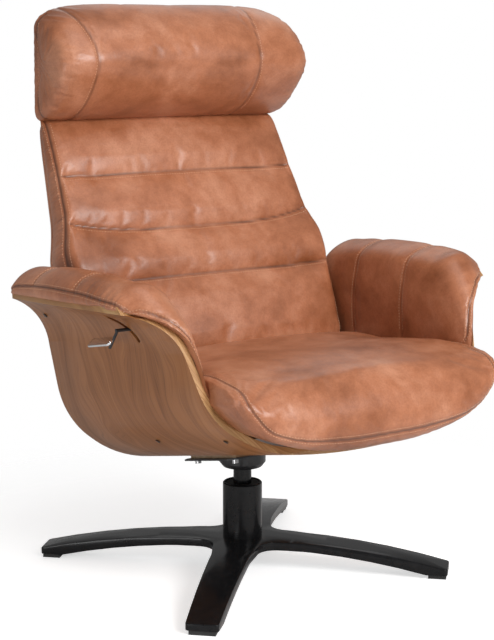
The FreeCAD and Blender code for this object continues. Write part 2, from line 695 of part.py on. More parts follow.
wide = d("post_width") / 2
thin = d("post_thick") / 2
clear = d("post_clearance")
posts = []
for sx in (1, -1):
    channel = post_block(sx * d("post_x"), wide + clear, thin + clear, 0, d("post_length") + 4)
    back_cushion = back_cushion.cut(channel)
    back_panel = back_panel.cut(channel)
    posts.append(post_block(sx * d("post_x"), wide, thin, 0, d("post_length")))
solid("back_cushion", back_cushion)
solid("back_panel", back_panel)

bar = rod_x(d("headrest_bar_radius"), -d("headrest_bar_half"), d("headrest_bar_half"), head_y, head_z)
solid("headrest_bar", bar)
solid("headrest_post_left", posts[0].cut(bar))
solid("headrest_post_right", posts[1].cut(bar))

# Headrest: a bolster of teardrop section with a slot in its underside for the hinge.
HEADREST_FORM = [
    # share of the end section, at half widths from the middle to the side
    (0, 0.0), (50, 0.0), (100, 0.01), (150, 0.04), (195, 0.12), (230, 0.28), (255, 0.52), (271, 0.82),
    (277, 1.0),
]
HEADREST_MIDDLE = ((302, 861), (250, 870), (190, 902), (151, 971), (191, 1040), (262, 1076), (282, 1079),
                   (300, 1068))
HEADREST_END = ((296, 863), (256, 871), (200, 906), (160, 971), (199, 1027), (268, 1053), (281, 1055),
                (292, 1047))


def headrest_wire(x, share):
    rear, foot, low, nose, high, top, mid, back = [
        V(x, y0 + (y1 - y0) * share, z0 + (z1 - z0) * share)
        for (y0, z0), (y1, z1) in zip(HEADREST_MIDDLE, HEADREST_END)]
    return chain([rear, foot, (low, nose), (high, top), (mid, back)], steps=6)


head_rows = [(-x, share) for x, share in reversed(HEADREST_FORM[1:])] + HEADREST_FORM
headrest = Part.makeLoft([headrest_wire(x, share) for x, share in head_rows], True, True)
notch = block(-d("notch_half"), d("notch_half"), d("notch_front_y"), d("notch_rear_y") - 7, 850,
              d("notch_top_z"))
headrest = headrest.cut(notch)
for sx in (1, -1):
    deep = block(sx * d("post_x") - wide - 3, sx * d("post_x") + wide + 3, d("notch_deep_y"),
                 d("notch_front_y") + 5, 850, d("notch_deep_top"))
    headrest = headrest.cut(deep)
solid("headrest_cushion", headrest)

for label, sx in (("headrest_knuckle_left", 1), ("headrest_knuckle_right", -1)):
    x = sx * (d("post_x") + 30)
    half = d("knuckle_width") / 2
    knuckle = block(x - half, x + half, head_y - 9, d("notch_rear_y") - 7, head_z - 9, d("notch_top_z"))
    bore = rod_x(d("headrest_bar_radius") + d("pivot_clearance"), x - half - 1, x + half + 1, head_y, head_z)
    solid(label, knuckle.cut(bore))

# Recline hinge: brackets on the shell, arms behind the back, pins through both.
hinge_y, hinge_z = d("back_pivot_y"), d("back_pivot_z")
head = d("bracket_head")
bracket_wire = chain([
    V(0, hinge_y - head, hinge_z),
    (V(0, hinge_y, hinge_z + head), V(0, hinge_y + head, hinge_z)),
    V(0, hinge_y + 24, 290), V(0, hinge_y + 24, 200), V(0, hinge_y - 60, 200), V(0, hinge_y - 60, 292),
])
bracket = Part.Face(bracket_wire).extrude(V(d("bracket_thick"), 0, 0))
bracket.translate(V(d("bracket_x"), 0, 0))
bracket = bracket.common(inner_volume)
bore = rod_x(d("pivot_pin_radius") + d("pivot_clearance"), d("bracket_x") - 2,
             d("bracket_x") + d("bracket_thick") + 2, hinge_y, hinge_z)
bracket = bracket.cut(bore)
solid("pivot_bracket_left", bracket)
solid("pivot_bracket_right", mirrored(bracket))

arm_x = d("bracket_x") + d("bracket_thick") + d("arm_gap")
depth = d("recline_arm_depth")
reach = d("recline_arm_reach")


def flat_on_back(points, x0, thick):
    wire = chain([on_back(0, u, v) for u, v in points])
    plate = Part.Face(wire).extrude(V(thick, 0, 0))
    plate.translate(V(x0, 0, 0))
    return plate


boss = rod_x(head, arm_x, arm_x + d("bracket_thick"), hinge_y, hinge_z)
strap = flat_on_back([(-46, -14), (-46, 20), (-22, 20), (-16, 0), (reach, 0), (reach, -depth + 6),
                      (reach - 10, -depth), (0, -depth)], arm_x, d("bracket_thick"))
arm = boss.fuse(strap)
pin_hole = rod_x(d("pivot_pin_radius"), arm_x - 2, arm_x + d("bracket_thick") + 2, hinge_y, hinge_z)
arm = arm.cut(pin_hole).removeSplitter()
arm = arm.cut(back_panel)
solid("recline_arm_left", arm)
solid("recline_arm_right", mirrored(arm))
pin = rod_x(d("pivot_pin_radius"), d("bracket_x") - 3, arm_x + d("bracket_thick"), hinge_y, hinge_z)
pin_head = rod_x(d("pivot_pin_radius") + 4, arm_x + d("bracket_thick"), arm_x + d("bracket_thick") + 4,
                 hinge_y, hinge_z)
pin = pin.fuse(pin_head).removeSplitter()
solid("pivot_pin_left", pin)
solid("pivot_pin_right", mirrored(pin))
size = d("cross_bar_size")
cross = flat_on_back([(d("cross_bar_u"), 0), (d("cross_bar_u") + size, 0), (d("cross_bar_u") + size, -size),
                      (d("cross_bar_u"), -size)], -arm_x, 2 * arm_x)
solid("recline_cross_bar", cross)

# Release lever: pin on the shell, hub and arm inside it, paddle outside.
inner_x = -at_width(d("lever_inner_x"))
hub_in = inner_x - d("lever_hub_thick")
lever_pin = rod_x(d("lever_pin_radius"), -360, inner_x + 1.5, pivot_y, pivot_z).common(inner_volume)
washer = rod_x(d("lever_pin_radius") + 4, inner_x + 1.5, inner_x + 4, pivot_y, pivot_z)
solid("lever_pin", lever_pin.fuse(washer).removeSplitter())

hub = rod_x(d("lever_hub_radius"), hub_in, inner_x, pivot_y, pivot_z)
reach_l = d("lever_reach")
web = block(hub_in, hub_in + 5, -reach_l - 1, 0, -4, 4)
web.rotate(V(0, 0, 0), V(1, 0, 0), -d("lever_angle"))
web.translate(V(0, pivot_y, pivot_z))
tip = around_lever(reach_l, d("lever_angle"), 0)
rod = rod_x(d("lever_rod_radius"), -at_width(d("lever_outer_x")) + 2.5, hub_in + 5, tip.y, tip.z)
neck_top = V(-at_width(d("lever_outer_x")) + 6, tip.y, tip.z)
neck_foot = V(-at_width(d("lever_outer_x")) - 1, -148.4, 493.7)
neck = Part.makeCylinder(d("lever_rod_radius") - 0.5, (neck_foot - neck_top).Length, neck_top, neck_foot - neck_top)
lever = hub.fuse(web).fuse(rod).fuse(neck)
lever = lever.cut(rod_x(d("lever_pin_radius") + d("pivot_clearance"), hub_in - 1, inner_x + 1,
                        pivot_y, pivot_z)).removeSplitter()
long = d("paddle_length")
paddle = block(-d("paddle_width") / 2, d("paddle_width") / 2, -long * 0.5, long * 0.5,
               -d("paddle_thick") / 2, d("paddle_thick") / 2)
paddle = paddle.makeFillet(7, [e for e in paddle.Edges if abs(e.Vertexes[0].Z - e.Vertexes[-1].Z) > 1])
paddle.rotate(V(0, 0, 0), V(0, 1, 0), -d("paddle_tilt"))
paddle.rotate(V(0, 0, 0), V(1, 0, 0), -11)
paddle.translate(V(-at_width(d("lever_outer_x")) - 1, -119, 500))
solid("lever_arm", lever.cut(paddle))
solid("lever_paddle", paddle)

doc.recompute()

NODES = [obj for obj in doc.Objects
         if obj.TypeId in ("PartDesign::Body", "Part::Feature", "Part::Cylinder")
         and "_profile" not in obj.Name]
for obj in doc.Objects:
    if "Invalid" in obj.State or "Error" in obj.State:
        raise RuntimeError("failed object " + obj.Label)
os.makedirs("parts", exist_ok=True)
for obj in NODES:
    shape = obj.Shape
    if shape.isNull() or not shape.isValid() or shape.Volume < 1:
        raise RuntimeError("bad shape " + obj.Label)
    if len(shape.Solids) != 1:
        raise RuntimeError("%s has %d solids" % (obj.Label, len(shape.Solids)))
    shape.exportStep("parts/%s.step" % obj.Label)
    box = shape.optimalBoundingBox(False)
    print("%-26s %9.0f mm3  x %.1f %.1f  y %.1f %.1f  z %.1f %.1f" % (
        obj.Label, shape.Volume, box.XMin, box.XMax, box.YMin, box.YMax, box.ZMin, box.ZMax))
print(len(NODES), "nodes")
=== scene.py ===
import json
import math

import bmesh
import bpy
import numpy as np
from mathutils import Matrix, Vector
from mathutils.bvhtree import BVHTree


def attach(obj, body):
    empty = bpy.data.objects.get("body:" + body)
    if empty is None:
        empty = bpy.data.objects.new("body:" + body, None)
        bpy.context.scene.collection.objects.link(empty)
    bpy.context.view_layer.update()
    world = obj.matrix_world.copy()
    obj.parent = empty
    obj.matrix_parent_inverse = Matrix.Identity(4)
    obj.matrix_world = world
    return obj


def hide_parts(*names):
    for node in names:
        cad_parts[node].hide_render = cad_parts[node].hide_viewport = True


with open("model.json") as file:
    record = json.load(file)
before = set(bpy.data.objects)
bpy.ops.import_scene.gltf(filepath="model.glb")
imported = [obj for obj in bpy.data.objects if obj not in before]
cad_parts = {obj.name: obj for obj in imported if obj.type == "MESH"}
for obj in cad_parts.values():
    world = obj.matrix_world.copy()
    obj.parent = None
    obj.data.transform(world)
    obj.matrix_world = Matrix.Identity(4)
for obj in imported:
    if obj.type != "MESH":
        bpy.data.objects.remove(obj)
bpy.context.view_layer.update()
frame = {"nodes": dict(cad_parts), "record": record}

# Sizes in metres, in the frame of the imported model. The chair faces -Y.
STITCH_LENGTH = 0.0034
STITCH_STEP = 0.0056
STITCH_RADIUS = 0.00055
# How far the thread's middle lies above the leather
THREAD_LIFT = 0.0002
# Frames for which a cover is blown up, and the pressure inside it
CLOTH_FRAMES = 20
CLOTH_PRESSURE = 4.0


# Lines and skins

def flowing(points, counts):
    """A smooth line through the points, counts[i] steps from point i to the next one.

    The first axis of the array runs from point to point, and the last one holds their coordinates.
    """
    p = np.asarray(points, float)
    span = np.linalg.norm(p[1:] - p[:-1], axis=-1, keepdims=True) + 1e-9
    slope = (p[1:] - p[:-1]) / span
    way = np.empty_like(p)
    way[0], way[-1] = slope[0], slope[-1]
    for i in range(1, len(p) - 1):
        way[i] = (slope[i - 1] * span[i] + slope[i] * span[i - 1]) / (span[i] + span[i - 1])
    line = []
    for i, count in enumerate(counts):
        for step in range(count):
            t = step / count
            a = (1 + 2 * t) * (1 - t) ** 2
            b = t * (1 - t) ** 2
            c = t * t * (3 - 2 * t)
            e = t * t * (t - 1)
            line.append(a * p[i] + b * way[i] * span[i] + c * p[i + 1] + e * way[i + 1] * span[i])
    line.append(p[-1])
    return np.array(line)


def through(keys, at):
    """Smooth value of a table of (place, value, value, ...) rows at each place asked for."""
    keys = np.asarray(keys, float)
    places, values = keys[:, 0], keys[:, 1:]
    rise = np.diff(values, axis=0) / np.diff(places)[:, None]
    slope = np.zeros_like(values)
    slope[0], slope[-1] = rise[0], rise[-1]
    inner = (rise[1:] + rise[:-1]) / 2
    flat = rise[1:] * rise[:-1] <= 0
    inner[flat] = 0
    slope[1:-1] = inner
    at = np.asarray(at, float)
    i = np.clip(np.searchsorted(places, at, side="right") - 1, 0, len(places) - 2)
    h = (places[i + 1] - places[i])[:, None]
    t = np.clip((at - places[i])[:, None] / h, 0, 1)
    return ((1 + 2 * t) * (1 - t) ** 2 * values[i] + t * (1 - t) ** 2 * h * slope[i]
            + t * t * (3 - 2 * t) * values[i + 1] + t * t * (t - 1) * h * slope[i + 1])


def add_object(name, data):
    made = bpy.data.objects.new(name, data)
    bpy.context.scene.collection.objects.link(made)
    return made


def mesh_piece(name, points, faces):
    mesh = bpy.data.meshes.new(name)
    mesh.from_pydata([tuple(p) for p in points], [], faces)
    mesh.validate()
    mesh.update()
    return add_object(name, mesh)


def skin(name, rings):
    """A closed skin over rings of equally many points. Each end ring is zipped shut, first point to last."""
    rings = np.asarray(rings, float)
    rows, around = rings.shape[:2]
    faces = []
    for r in range(rows - 1):
        for k in range(around):
            n = (k + 1) % around
            faces.append((r * around + k, r * around + n, (r + 1) * around + n, (r + 1) * around + k))
    half = around // 2
    for base, flip in ((0, True), ((rows - 1) * around, False)):
        for k in range(half - 1):
            quad = (base + k, base + k + 1, base + around - 2 - k, base + around - 1 - k)
            faces.append(tuple(reversed(quad)) if flip else quad)
    piece = mesh_piece(name, rings.reshape(-1, 3), faces)
    point_outwards(piece)
    return piece


def point_outwards(piece):
    mesh = piece.data
    volume = 0.0
    for face in mesh.polygons:
        corners = [mesh.vertices[i].co for i in face.vertices]
        for b, c in zip(corners[1:], corners[2:]):
            volume += corners[0].dot(b.cross(c))
    if volume < 0:
        mesh.flip_normals()


def point_values(mesh, key):
    values = np.empty(len(mesh.vertices) * 3)
    mesh.vertices.foreach_get(key, values)
    return values.reshape(-1, 3)


def coordinates(piece):
    return point_values(piece.data, "co")


def normals(piece):
    return point_values(piece.data, "normal")


def set_coordinates(piece, co):
    piece.data.vertices.foreach_set("co", np.asarray(co, float).ravel())
    piece.data.update()


def soften(piece):
    """Applies one level of subdivision surface, and smooth shading."""
    rounder = piece.modifiers.new("round", "SUBSURF")
    rounder.levels = rounder.render_levels = 1
    bake_modifiers(piece)
    piece.data.shade_smooth()


def bake_modifiers(piece):
    bpy.context.view_layer.update()
    graph = bpy.context.evaluated_depsgraph_get()
    done = bpy.data.meshes.new_from_object(piece.evaluated_get(graph))
    old = piece.data
    piece.modifiers.clear()
    piece.data = done
    bpy.data.meshes.remove(old)


def bump(distance, width):
    """1 on a line and 0 beyond the width on either side of it, smooth in between."""
    t = np.clip(np.abs(distance) / width, 0, 1)
    return (1 - t * t) ** 2


def mark_painted_shade(piece, values):
    """How much painted shade darkens the leather at each point, 1 in the bottom of a seam, where shade falls.
    """
    marks = piece.data.attributes.new("painted_shade", "FLOAT", "POINT")
    marks.data.foreach_set("value", np.clip(values, 0, 1).astype(np.float32))


def folds(along, pitch, seed):
    """Irregular small folds along a seam, from -1 to 1."""
    draw = np.random.default_rng(seed)
    turn = 6.28
    total = np.zeros_like(along)
    for share in (0.61, 0.83, 1.0, 1.37, 1.9):
        phase, sway = draw.uniform(0, turn, 2)
        drift = 0.8 * np.sin(along / (pitch * 5.3 * share) + sway)
        total = total + np.sin(along * turn / (pitch * share) + phase + drift) / share ** 0.5
    return total / 2.6


def stuffed(piece, sewn, cap, growth):
    """Blows the cover up as cloth that is held where it is sewn.

    The leather is larger than its form by the growth, and no point moves further than the cap.
    """
    rest = coordinates(piece)
    held = piece.vertex_groups.new(name="sewn")
    for step in range(11):
        share = step / 10
        picked = np.nonzero(np.abs(sewn - share) <= 0.05)[0]
        if len(picked) and share > 0:
            held.add([int(i) for i in picked], share, "REPLACE")
    cloth = piece.modifiers.new("cover", "CLOTH")
    settings = cloth.settings
    settings.quality = 4
    settings.mass = 0.25
    settings.tension_stiffness = settings.compression_stiffness = 18
    settings.shear_stiffness = 6
    settings.bending_stiffness = 0.6
    settings.use_pressure = True
    settings.uniform_pressure_force = CLOTH_PRESSURE
    settings.shrink_min = -growth
    settings.vertex_group_mass = "sewn"
    settings.pin_stiffness = 2.0
    settings.effector_weights.gravity = 0
    cloth.collision_settings.use_collision = False
    cloth.point_cache.frame_start, cloth.point_cache.frame_end = 1, CLOTH_FRAMES
    scene = bpy.context.scene
    for frame_number in range(1, CLOTH_FRAMES + 1):
        scene.frame_set(frame_number)
    bpy.context.view_layer.update()
    graph = bpy.context.evaluated_depsgraph_get()
    blown = bpy.data.meshes.new_from_object(piece.evaluated_get(graph))
    move = point_values(blown, "co") - rest
    bpy.data.meshes.remove(blown)
    piece.modifiers.clear()
    piece.vertex_groups.clear()
    scene.frame_set(1)
    far = np.linalg.norm(move, axis=1, keepdims=True)
    move = move * np.minimum(1, cap / np.maximum(far, 1e-9)) * (1 - sewn[:, None])
    set_coordinates(piece, rest + move)


def laid_on(piece, line, lift):
    """The points of a line, brought to the surface of the piece and lifted off it."""
    mesh = piece.data
    tree = BVHTree.FromPolygons([v.co for v in mesh.vertices], [p.vertices[:] for p in mesh.polygons])
    laid = []
    for point in line:
        spot, normal, _, _ = tree.find_nearest(Vector(point))
        laid.append(spot + normal * lift)
    return laid


def set_inputs(node, values):
    for key, value in values.items():
        node.inputs[key].default_value = value


def stitch_tree():
    """Geometry Nodes: a line of mesh edges becomes a row of thread stitches."""
    tree = bpy.data.node_groups.new("stitch row", "GeometryNodeTree")
    face = tree.interface
    face.new_socket("Line", in_out="INPUT", socket_type="NodeSocketGeometry")
    for label, value in (("Pitch", STITCH_STEP), ("Length", STITCH_LENGTH), ("Radius", STITCH_RADIUS)):
        face.new_socket(label, in_out="INPUT", socket_type="NodeSocketFloat").default_value = value
    face.new_socket("Thread", in_out="INPUT", socket_type="NodeSocketMaterial")
    face.new_socket("Stitches", in_out="OUTPUT", socket_type="NodeSocketGeometry")
    nodes = {key: tree.nodes.new(kind) for key, kind in (
        ("given", "NodeGroupInput"), ("result", "NodeGroupOutput"), ("curve", "GeometryNodeMeshToCurve"),
        ("spaced", "GeometryNodeResampleCurve"), ("way", "GeometryNodeInputTangent"),
        ("turn", "FunctionNodeAlignRotationToVector"), ("bead", "GeometryNodeMeshUVSphere"),
        ("shape", "ShaderNodeCombineXYZ"), ("half", "ShaderNodeMath"), ("stretched", "GeometryNodeTransform"),
        ("rows", "GeometryNodeInstanceOnPoints"), ("real", "GeometryNodeRealizeInstances"),
        ("smooth", "GeometryNodeSetShadeSmooth"), ("coloured", "GeometryNodeSetMaterial"))}
    nodes["spaced"].mode = "LENGTH"
    nodes["turn"].axis = "Z"
    nodes["half"].operation = "MULTIPLY"
    nodes["half"].inputs[1].default_value = 0.5
    set_inputs(nodes["bead"], {"Segments": 6, "Rings": 4, "Radius": 1.0})
    for start, out, end, into in (
            ("given", "Line", "curve", "Mesh"), ("curve", "Curve", "spaced", "Curve"),
            ("given", "Pitch", "spaced", "Length"), ("given", "Length", "half", 0),
            ("given", "Radius", "shape", "X"), ("given", "Radius", "shape", "Y"), ("half", 0, "shape", "Z"),
            ("bead", "Mesh", "stretched", "Geometry"), ("shape", "Vector", "stretched", "Scale"),
            ("way", "Tangent", "turn", "Vector"), ("spaced", "Curve", "rows", "Points"),
            ("stretched", "Geometry", "rows", "Instance"), ("turn", "Rotation", "rows", "Rotation"),
            ("rows", "Instances", "real", "Geometry"), ("real", "Geometry", "smooth", "Geometry"),
            ("smooth", "Geometry", "coloured", "Geometry"), ("given", "Thread", "coloured", "Material"),
            ("coloured", "Geometry", "result", "Stitches")):
        tree.links.new(nodes[start].outputs[out], nodes[end].inputs[into])
    return tree


def stitches(name, piece, lines, body):
    """Rows of stitches on a cover, along lines that are given as points near it."""
    points, edges = [], []
    for line in lines:
        start = len(points)
        laid = laid_on(piece, line, THREAD_LIFT)
        points += laid
        edges += [(start + i, start + i + 1) for i in range(len(laid) - 1)]
    mesh = bpy.data.meshes.new(name)
    mesh.from_pydata([tuple(p) for p in points], edges, [])
    row = add_object(name, mesh)
    sewing = row.modifiers.new("stitches", "NODES")
    sewing.node_group = STITCH_TREE
    given = {"Pitch": STITCH_STEP, "Length": STITCH_LENGTH, "Radius": STITCH_RADIUS, "Thread": THREAD}
    for socket in STITCH_TREE.interface.items_tree:
        if socket.in_out == "INPUT" and socket.name in given:
            sewing[socket.identifier] = given[socket.name]
    bake_modifiers(row)
    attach(row, body)


def clean_copy(name, node, sharp, bevel=0.0):
    """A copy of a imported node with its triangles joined, its edges broken and its curves smooth."""
    piece = add_object(name, frame["nodes"][node].data.copy())
    solid = bmesh.new()
    solid.from_mesh(piece.data)
    bmesh.ops.remove_doubles(solid, verts=solid.verts, dist=0.00002)
    bmesh.ops.dissolve_limit(solid, angle_limit=math.radians(0.6), verts=solid.verts, edges=solid.edges)
    solid.to_mesh(piece.data)
    solid.free()
    if bevel:
        broken = piece.modifiers.new("broken edges", "BEVEL")
        broken.width = bevel
        broken.segments = 2
        broken.limit_method = "ANGLE"
        broken.angle_limit = math.radians(sharp)
        bake_modifiers(piece)
    piece.data.shade_smooth()
    piece.data.set_sharp_from_angle(angle=math.radians(sharp))
    return piece


# Materials

def material(name):
    made = bpy.data.materials.new(name)
    made.use_nodes = True
    nodes = made.node_tree.nodes
    shader = nodes["Principled BSDF"]
    return made, nodes, made.node_tree.links, shader


def scaled_place(nodes, links, place, scale):
    mapping = nodes.new("ShaderNodeMapping")
    mapping.inputs["Scale"].default_value = scale
    links.new(place, mapping.inputs["Vector"])
    return mapping.outputs["Vector"]


def object_place(nodes, links, scale=(1, 1, 1)):
    return scaled_place(nodes, links, nodes.new("ShaderNodeTexCoord").outputs["Object"], scale)


def noise(nodes, links, place, scale, detail=3.0, roughness=0.5, distortion=0.0):
    tex = nodes.new("ShaderNodeTexNoise")
    set_inputs(tex, {"Scale": scale, "Detail": detail, "Roughness": roughness, "Distortion": distortion})
    links.new(place, tex.inputs["Vector"])
    return tex.outputs["Fac"]


def ramp(nodes, links, value, stops):
    tone = nodes.new("ShaderNodeValToRGB")
    while len(tone.color_ramp.elements) < len(stops):
        tone.color_ramp.elements.new(0.5)
    for element, (at, colour) in zip(tone.color_ramp.elements, stops):
        element.position = at
        element.color = (*colour, 1.0)
    links.new(value, tone.inputs["Fac"])
    return tone.outputs["Color"]


def mixed(nodes, links, share, first, second, how="MIX"):
    mix = nodes.new("ShaderNodeMix")
    mix.data_type = "RGBA"
    mix.blend_type = how
    for socket, value in ((mix.inputs[0], share), (mix.inputs[6], first), (mix.inputs[7], second)):
        if isinstance(value, bpy.types.NodeSocket):
            links.new(value, socket)
        else:
            socket.default_value = value if isinstance(value, float) else (*value, 1.0)
    return mix.outputs[2]


def darkened(nodes, links, tone, share, value, low, high, dark):
    """The tone, darker where the value is low, and as it is where the value is high."""
    shade = ramp(nodes, links, value, [(low, dark), (high, (1.0, 1.0, 1.0))])
    return mixed(nodes, links, share, tone, shade, "MULTIPLY")


def calculated(nodes, links, operation, *values):
    node = nodes.new("ShaderNodeMath")
    node.operation = operation
    for socket, value in zip(node.inputs, values):
        if isinstance(value, bpy.types.NodeSocket):
            links.new(value, socket)
        else:
            socket.default_value = value
    return node.outputs[0]


def spread(nodes, links, value, low, high, to_low, to_high):
    scaled = nodes.new("ShaderNodeMapRange")
    set_inputs(scaled, {"From Min": low, "From Max": high, "To Min": to_low, "To Max": to_high})
    links.new(value, scaled.inputs["Value"])
    return scaled.outputs["Result"]


def raised(nodes, links, height, depth, strength, under=None):
    relief = nodes.new("ShaderNodeBump")
    set_inputs(relief, {"Distance": depth, "Strength": strength})
    links.new(height, relief.inputs["Height"])
    if under is not None:
        links.new(under, relief.inputs["Normal"])
    return relief.outputs["Normal"]


def tan_leather():
    """Aniline leather: uneven patina, fine pores, and painted shade, darker where the painted shade attribute
    is high.
    """
    made, nodes, links, shader = material("tan leather")
    place = object_place(nodes, links)
    patina = noise(nodes, links, place, 6.5, 7.0, 0.62, 0.25)
    cloud = noise(nodes, links, place, 31.0, 5.0, 0.6, 0.2)
    speck = noise(nodes, links, place, 300.0, 3.0, 0.65)
    tone = ramp(nodes, links, patina, [
        (0.33, (0.285, 0.092, 0.034)), (0.50, (0.435, 0.160, 0.074)), (0.66, (0.550, 0.242, 0.136))])
    tone = darkened(nodes, links, tone, 0.7, cloud, 0.36, 0.60, (0.80, 0.74, 0.68))
    tone = darkened(nodes, links, tone, 0.7, speck, 0.36, 0.58, (0.84, 0.80, 0.78))
    painted_shade = nodes.new("ShaderNodeAttribute")
    painted_shade.attribute_name = "painted_shade"
    # painted shade: a near-black brown mixed in at the bottoms of seams, channels and folds
    tone = mixed(nodes, links, painted_shade.outputs["Fac"], tone, (0.060, 0.018, 0.008))
    links.new(tone, shader.inputs["Base Color"])
    links.new(spread(nodes, links, cloud, 0.3, 0.7, 0.34, 0.46), shader.inputs["Roughness"])
    set_inputs(shader, {"Specular IOR Level": 0.5, "Coat Weight": 0.16, "Coat Roughness": 0.32})
    cells = nodes.new("ShaderNodeTexVoronoi")
    cells.inputs["Scale"].default_value = 560.0
    links.new(place, cells.inputs["Vector"])
    pores = spread(nodes, links, cells.outputs["Distance"], 0.0, 0.6, 0.0, 1.0)
    creases = noise(nodes, links, place, 75.0, 6.0, 0.66, 0.9)
    fine = raised(nodes, links, pores, 0.00016, 0.5)
    links.new(raised(nodes, links, creases, 0.0014, 0.32, fine), shader.inputs["Normal"])
    return made


def thread():
    made, nodes, links, shader = material("thread")
    place = object_place(nodes, links)
    twist = noise(nodes, links, place, 900.0, 1.0)
    links.new(ramp(nodes, links, twist, [(0.3, (0.50, 0.25, 0.14)), (0.7, (0.72, 0.44, 0.29))]),
              shader.inputs["Base Color"])
    shader.inputs["Roughness"].default_value = 0.6
    return made


def walnut_veneer():
    """Grain runs round the bent shell, so it changes quickly from front to back only."""
    made, nodes, links, shader = material("walnut veneer")
    sway = noise(nodes, links, object_place(nodes, links, (1.6, 3.0, 1.6)), 2.2, 2.0, 0.5)
    parts = nodes.new("ShaderNodeSeparateXYZ")
    links.new(nodes.new("ShaderNodeTexCoord").outputs["Object"], parts.inputs["Vector"])
    moved = calculated(nodes, links, "MULTIPLY_ADD", sway, 0.16, parts.outputs["Y"])
    joined = nodes.new("ShaderNodeCombineXYZ")
    for socket, value in zip(joined.inputs, (parts.outputs["X"], moved, parts.outputs["Z"])):
        links.new(value, socket)
    place = joined.outputs["Vector"]
    bands, lines, pores = (
        noise(nodes, links, scaled_place(nodes, links, place, scale), 1.0, detail, 0.6, bent)
        for scale, detail, bent in (
            ((0.7, 16.0, 0.7), 4.0, 0.25), ((1.6, 95.0, 1.6), 3.0, 0.2), ((9.0, 420.0, 9.0), 2.0, 0.0)))
    tone = ramp(nodes, links, bands, [
        (0.30, (0.250, 0.094, 0.028)), (0.47, (0.320, 0.124, 0.040)), (0.66, (0.394, 0.163, 0.058))])
    tone = darkened(nodes, links, tone, 0.6, lines, 0.30, 0.58, (0.62, 0.57, 0.52))
    tone = darkened(nodes, links, tone, 0.7, pores, 0.32, 0.50, (0.60, 0.56, 0.52))
    links.new(tone, shader.inputs["Base Color"])
    links.new(spread(nodes, links, lines, 0.3, 0.7, 0.42, 0.34), shader.inputs["Roughness"])
    set_inputs(shader, {"Specular IOR Level": 0.35, "Coat Weight": 0.05, "Coat Roughness": 0.22})
    links.new(raised(nodes, links, pores, 0.0002, 0.4), shader.inputs["Normal"])
    return made


def ply_edge():
    """Layers of the pressed plywood, across the thickness, from the strip's own UV map."""
    made, nodes, links, shader = material("plywood edge")
    place = nodes.new("ShaderNodeUVMap")
    place.uv_map = "strip"
    layers, fibres = (
        noise(nodes, links, scaled_place(nodes, links, place.outputs["UV"], scale), 1.0, detail, roughness)
        for scale, detail, roughness in (((1.5, 560.0, 1.0), 1.0, 0.5), ((90.0, 2200.0, 1.0), 3.0, 0.6)))
    tone = ramp(nodes, links, layers, [
        (0.34, (0.33, 0.155, 0.055)), (0.52, (0.45, 0.235, 0.090)), (0.66, (0.54, 0.32, 0.14))])
    tone = darkened(nodes, links, tone, 0.8, fibres, 0.3, 0.6, (0.80, 0.76, 0.72))
    links.new(tone, shader.inputs["Base Color"])
    shader.inputs["Roughness"].default_value = 0.42
    links.new(raised(nodes, links, fibres, 0.0002, 0.35), shader.inputs["Normal"])
    return made


def plain_wood():
    made, nodes, links, shader = material("birch plywood")
    place = object_place(nodes, links, (3.0, 60.0, 60.0))
    grain = noise(nodes, links, place, 1.0, 4.0, 0.6, 0.3)
    links.new(ramp(nodes, links, grain, [(0.3, (0.46, 0.31, 0.18)), (0.7, (0.66, 0.48, 0.31))]),
              shader.inputs["Base Color"])
    shader.inputs["Roughness"].default_value = 0.55
    return made


def gloss_black():
    made, nodes, links, shader = material("gloss black lacquer")
    place = object_place(nodes, links)
    wave = noise(nodes, links, place, 90.0, 2.0, 0.5)
    links.new(ramp(nodes, links, wave, [(0.3, (0.006, 0.006, 0.0065)), (0.7, (0.010, 0.010, 0.011))]),
              shader.inputs["Base Color"])
    links.new(spread(nodes, links, wave, 0.3, 0.7, 0.17, 0.24), shader.inputs["Roughness"])
    set_inputs(shader, {"Specular IOR Level": 0.22, "Coat Weight": 0.05, "Coat Roughness": 0.12})
    links.new(raised(nodes, links, wave, 0.0004, 0.12), shader.inputs["Normal"])
    return made


def satin(name, dark, light, roughness, metal=0.0):
    """Metal or plastic with a fine even surface."""
    made, nodes, links, shader = material(name)
    place = object_place(nodes, links)
    grain = noise(nodes, links, place, 160.0, 3.0, 0.6)
    links.new(ramp(nodes, links, grain, [(0.3, dark), (0.7, light)]), shader.inputs["Base Color"])
    rough = spread(nodes, links, grain, 0.3, 0.7, roughness - 0.04, roughness + 0.05)
    links.new(rough, shader.inputs["Roughness"])
    shader.inputs["Metallic"].default_value = metal
    links.new(raised(nodes, links, grain, 0.0002, 0.2), shader.inputs["Normal"])
    return made


LEATHER = tan_leather()
THREAD = thread()
STITCH_TREE = stitch_tree()
WALNUT = walnut_veneer()
PLY_EDGE = ply_edge()
BIRCH = plain_wood()
GLOSS_BLACK = gloss_black()
SATIN_BLACK = satin("satin black steel", (0.012, 0.012, 0.013), (0.024, 0.024, 0.026), 0.38)
BLACK_PLASTIC = satin("black plastic", (0.016, 0.016, 0.016), (0.028, 0.028, 0.028), 0.55)
BROWN_PLASTIC = satin("brown plastic", (0.050, 0.030, 0.020), (0.085, 0.055, 0.038), 0.45)
BRIGHT_STEEL = satin("bright steel", (0.50, 0.50, 0.51), (0.62, 0.62, 0.63), 0.30, 1.0)
CHROME = satin("chrome", (0.76, 0.76, 0.77), (0.84, 0.84, 0.85), 0.10, 1.0)

FINISHES = {
    "black_base": GLOSS_BLACK, "black_plastic": BLACK_PLASTIC, "bush_plastic": BLACK_PLASTIC,
    "brown_plastic": BROWN_PLASTIC, "bright_steel": BRIGHT_STEEL, "mechanism_black": SATIN_BLACK,
    "chrome": CHROME, "walnut": WALNUT, "birch": BIRCH, "tan_leather": LEATHER,
}


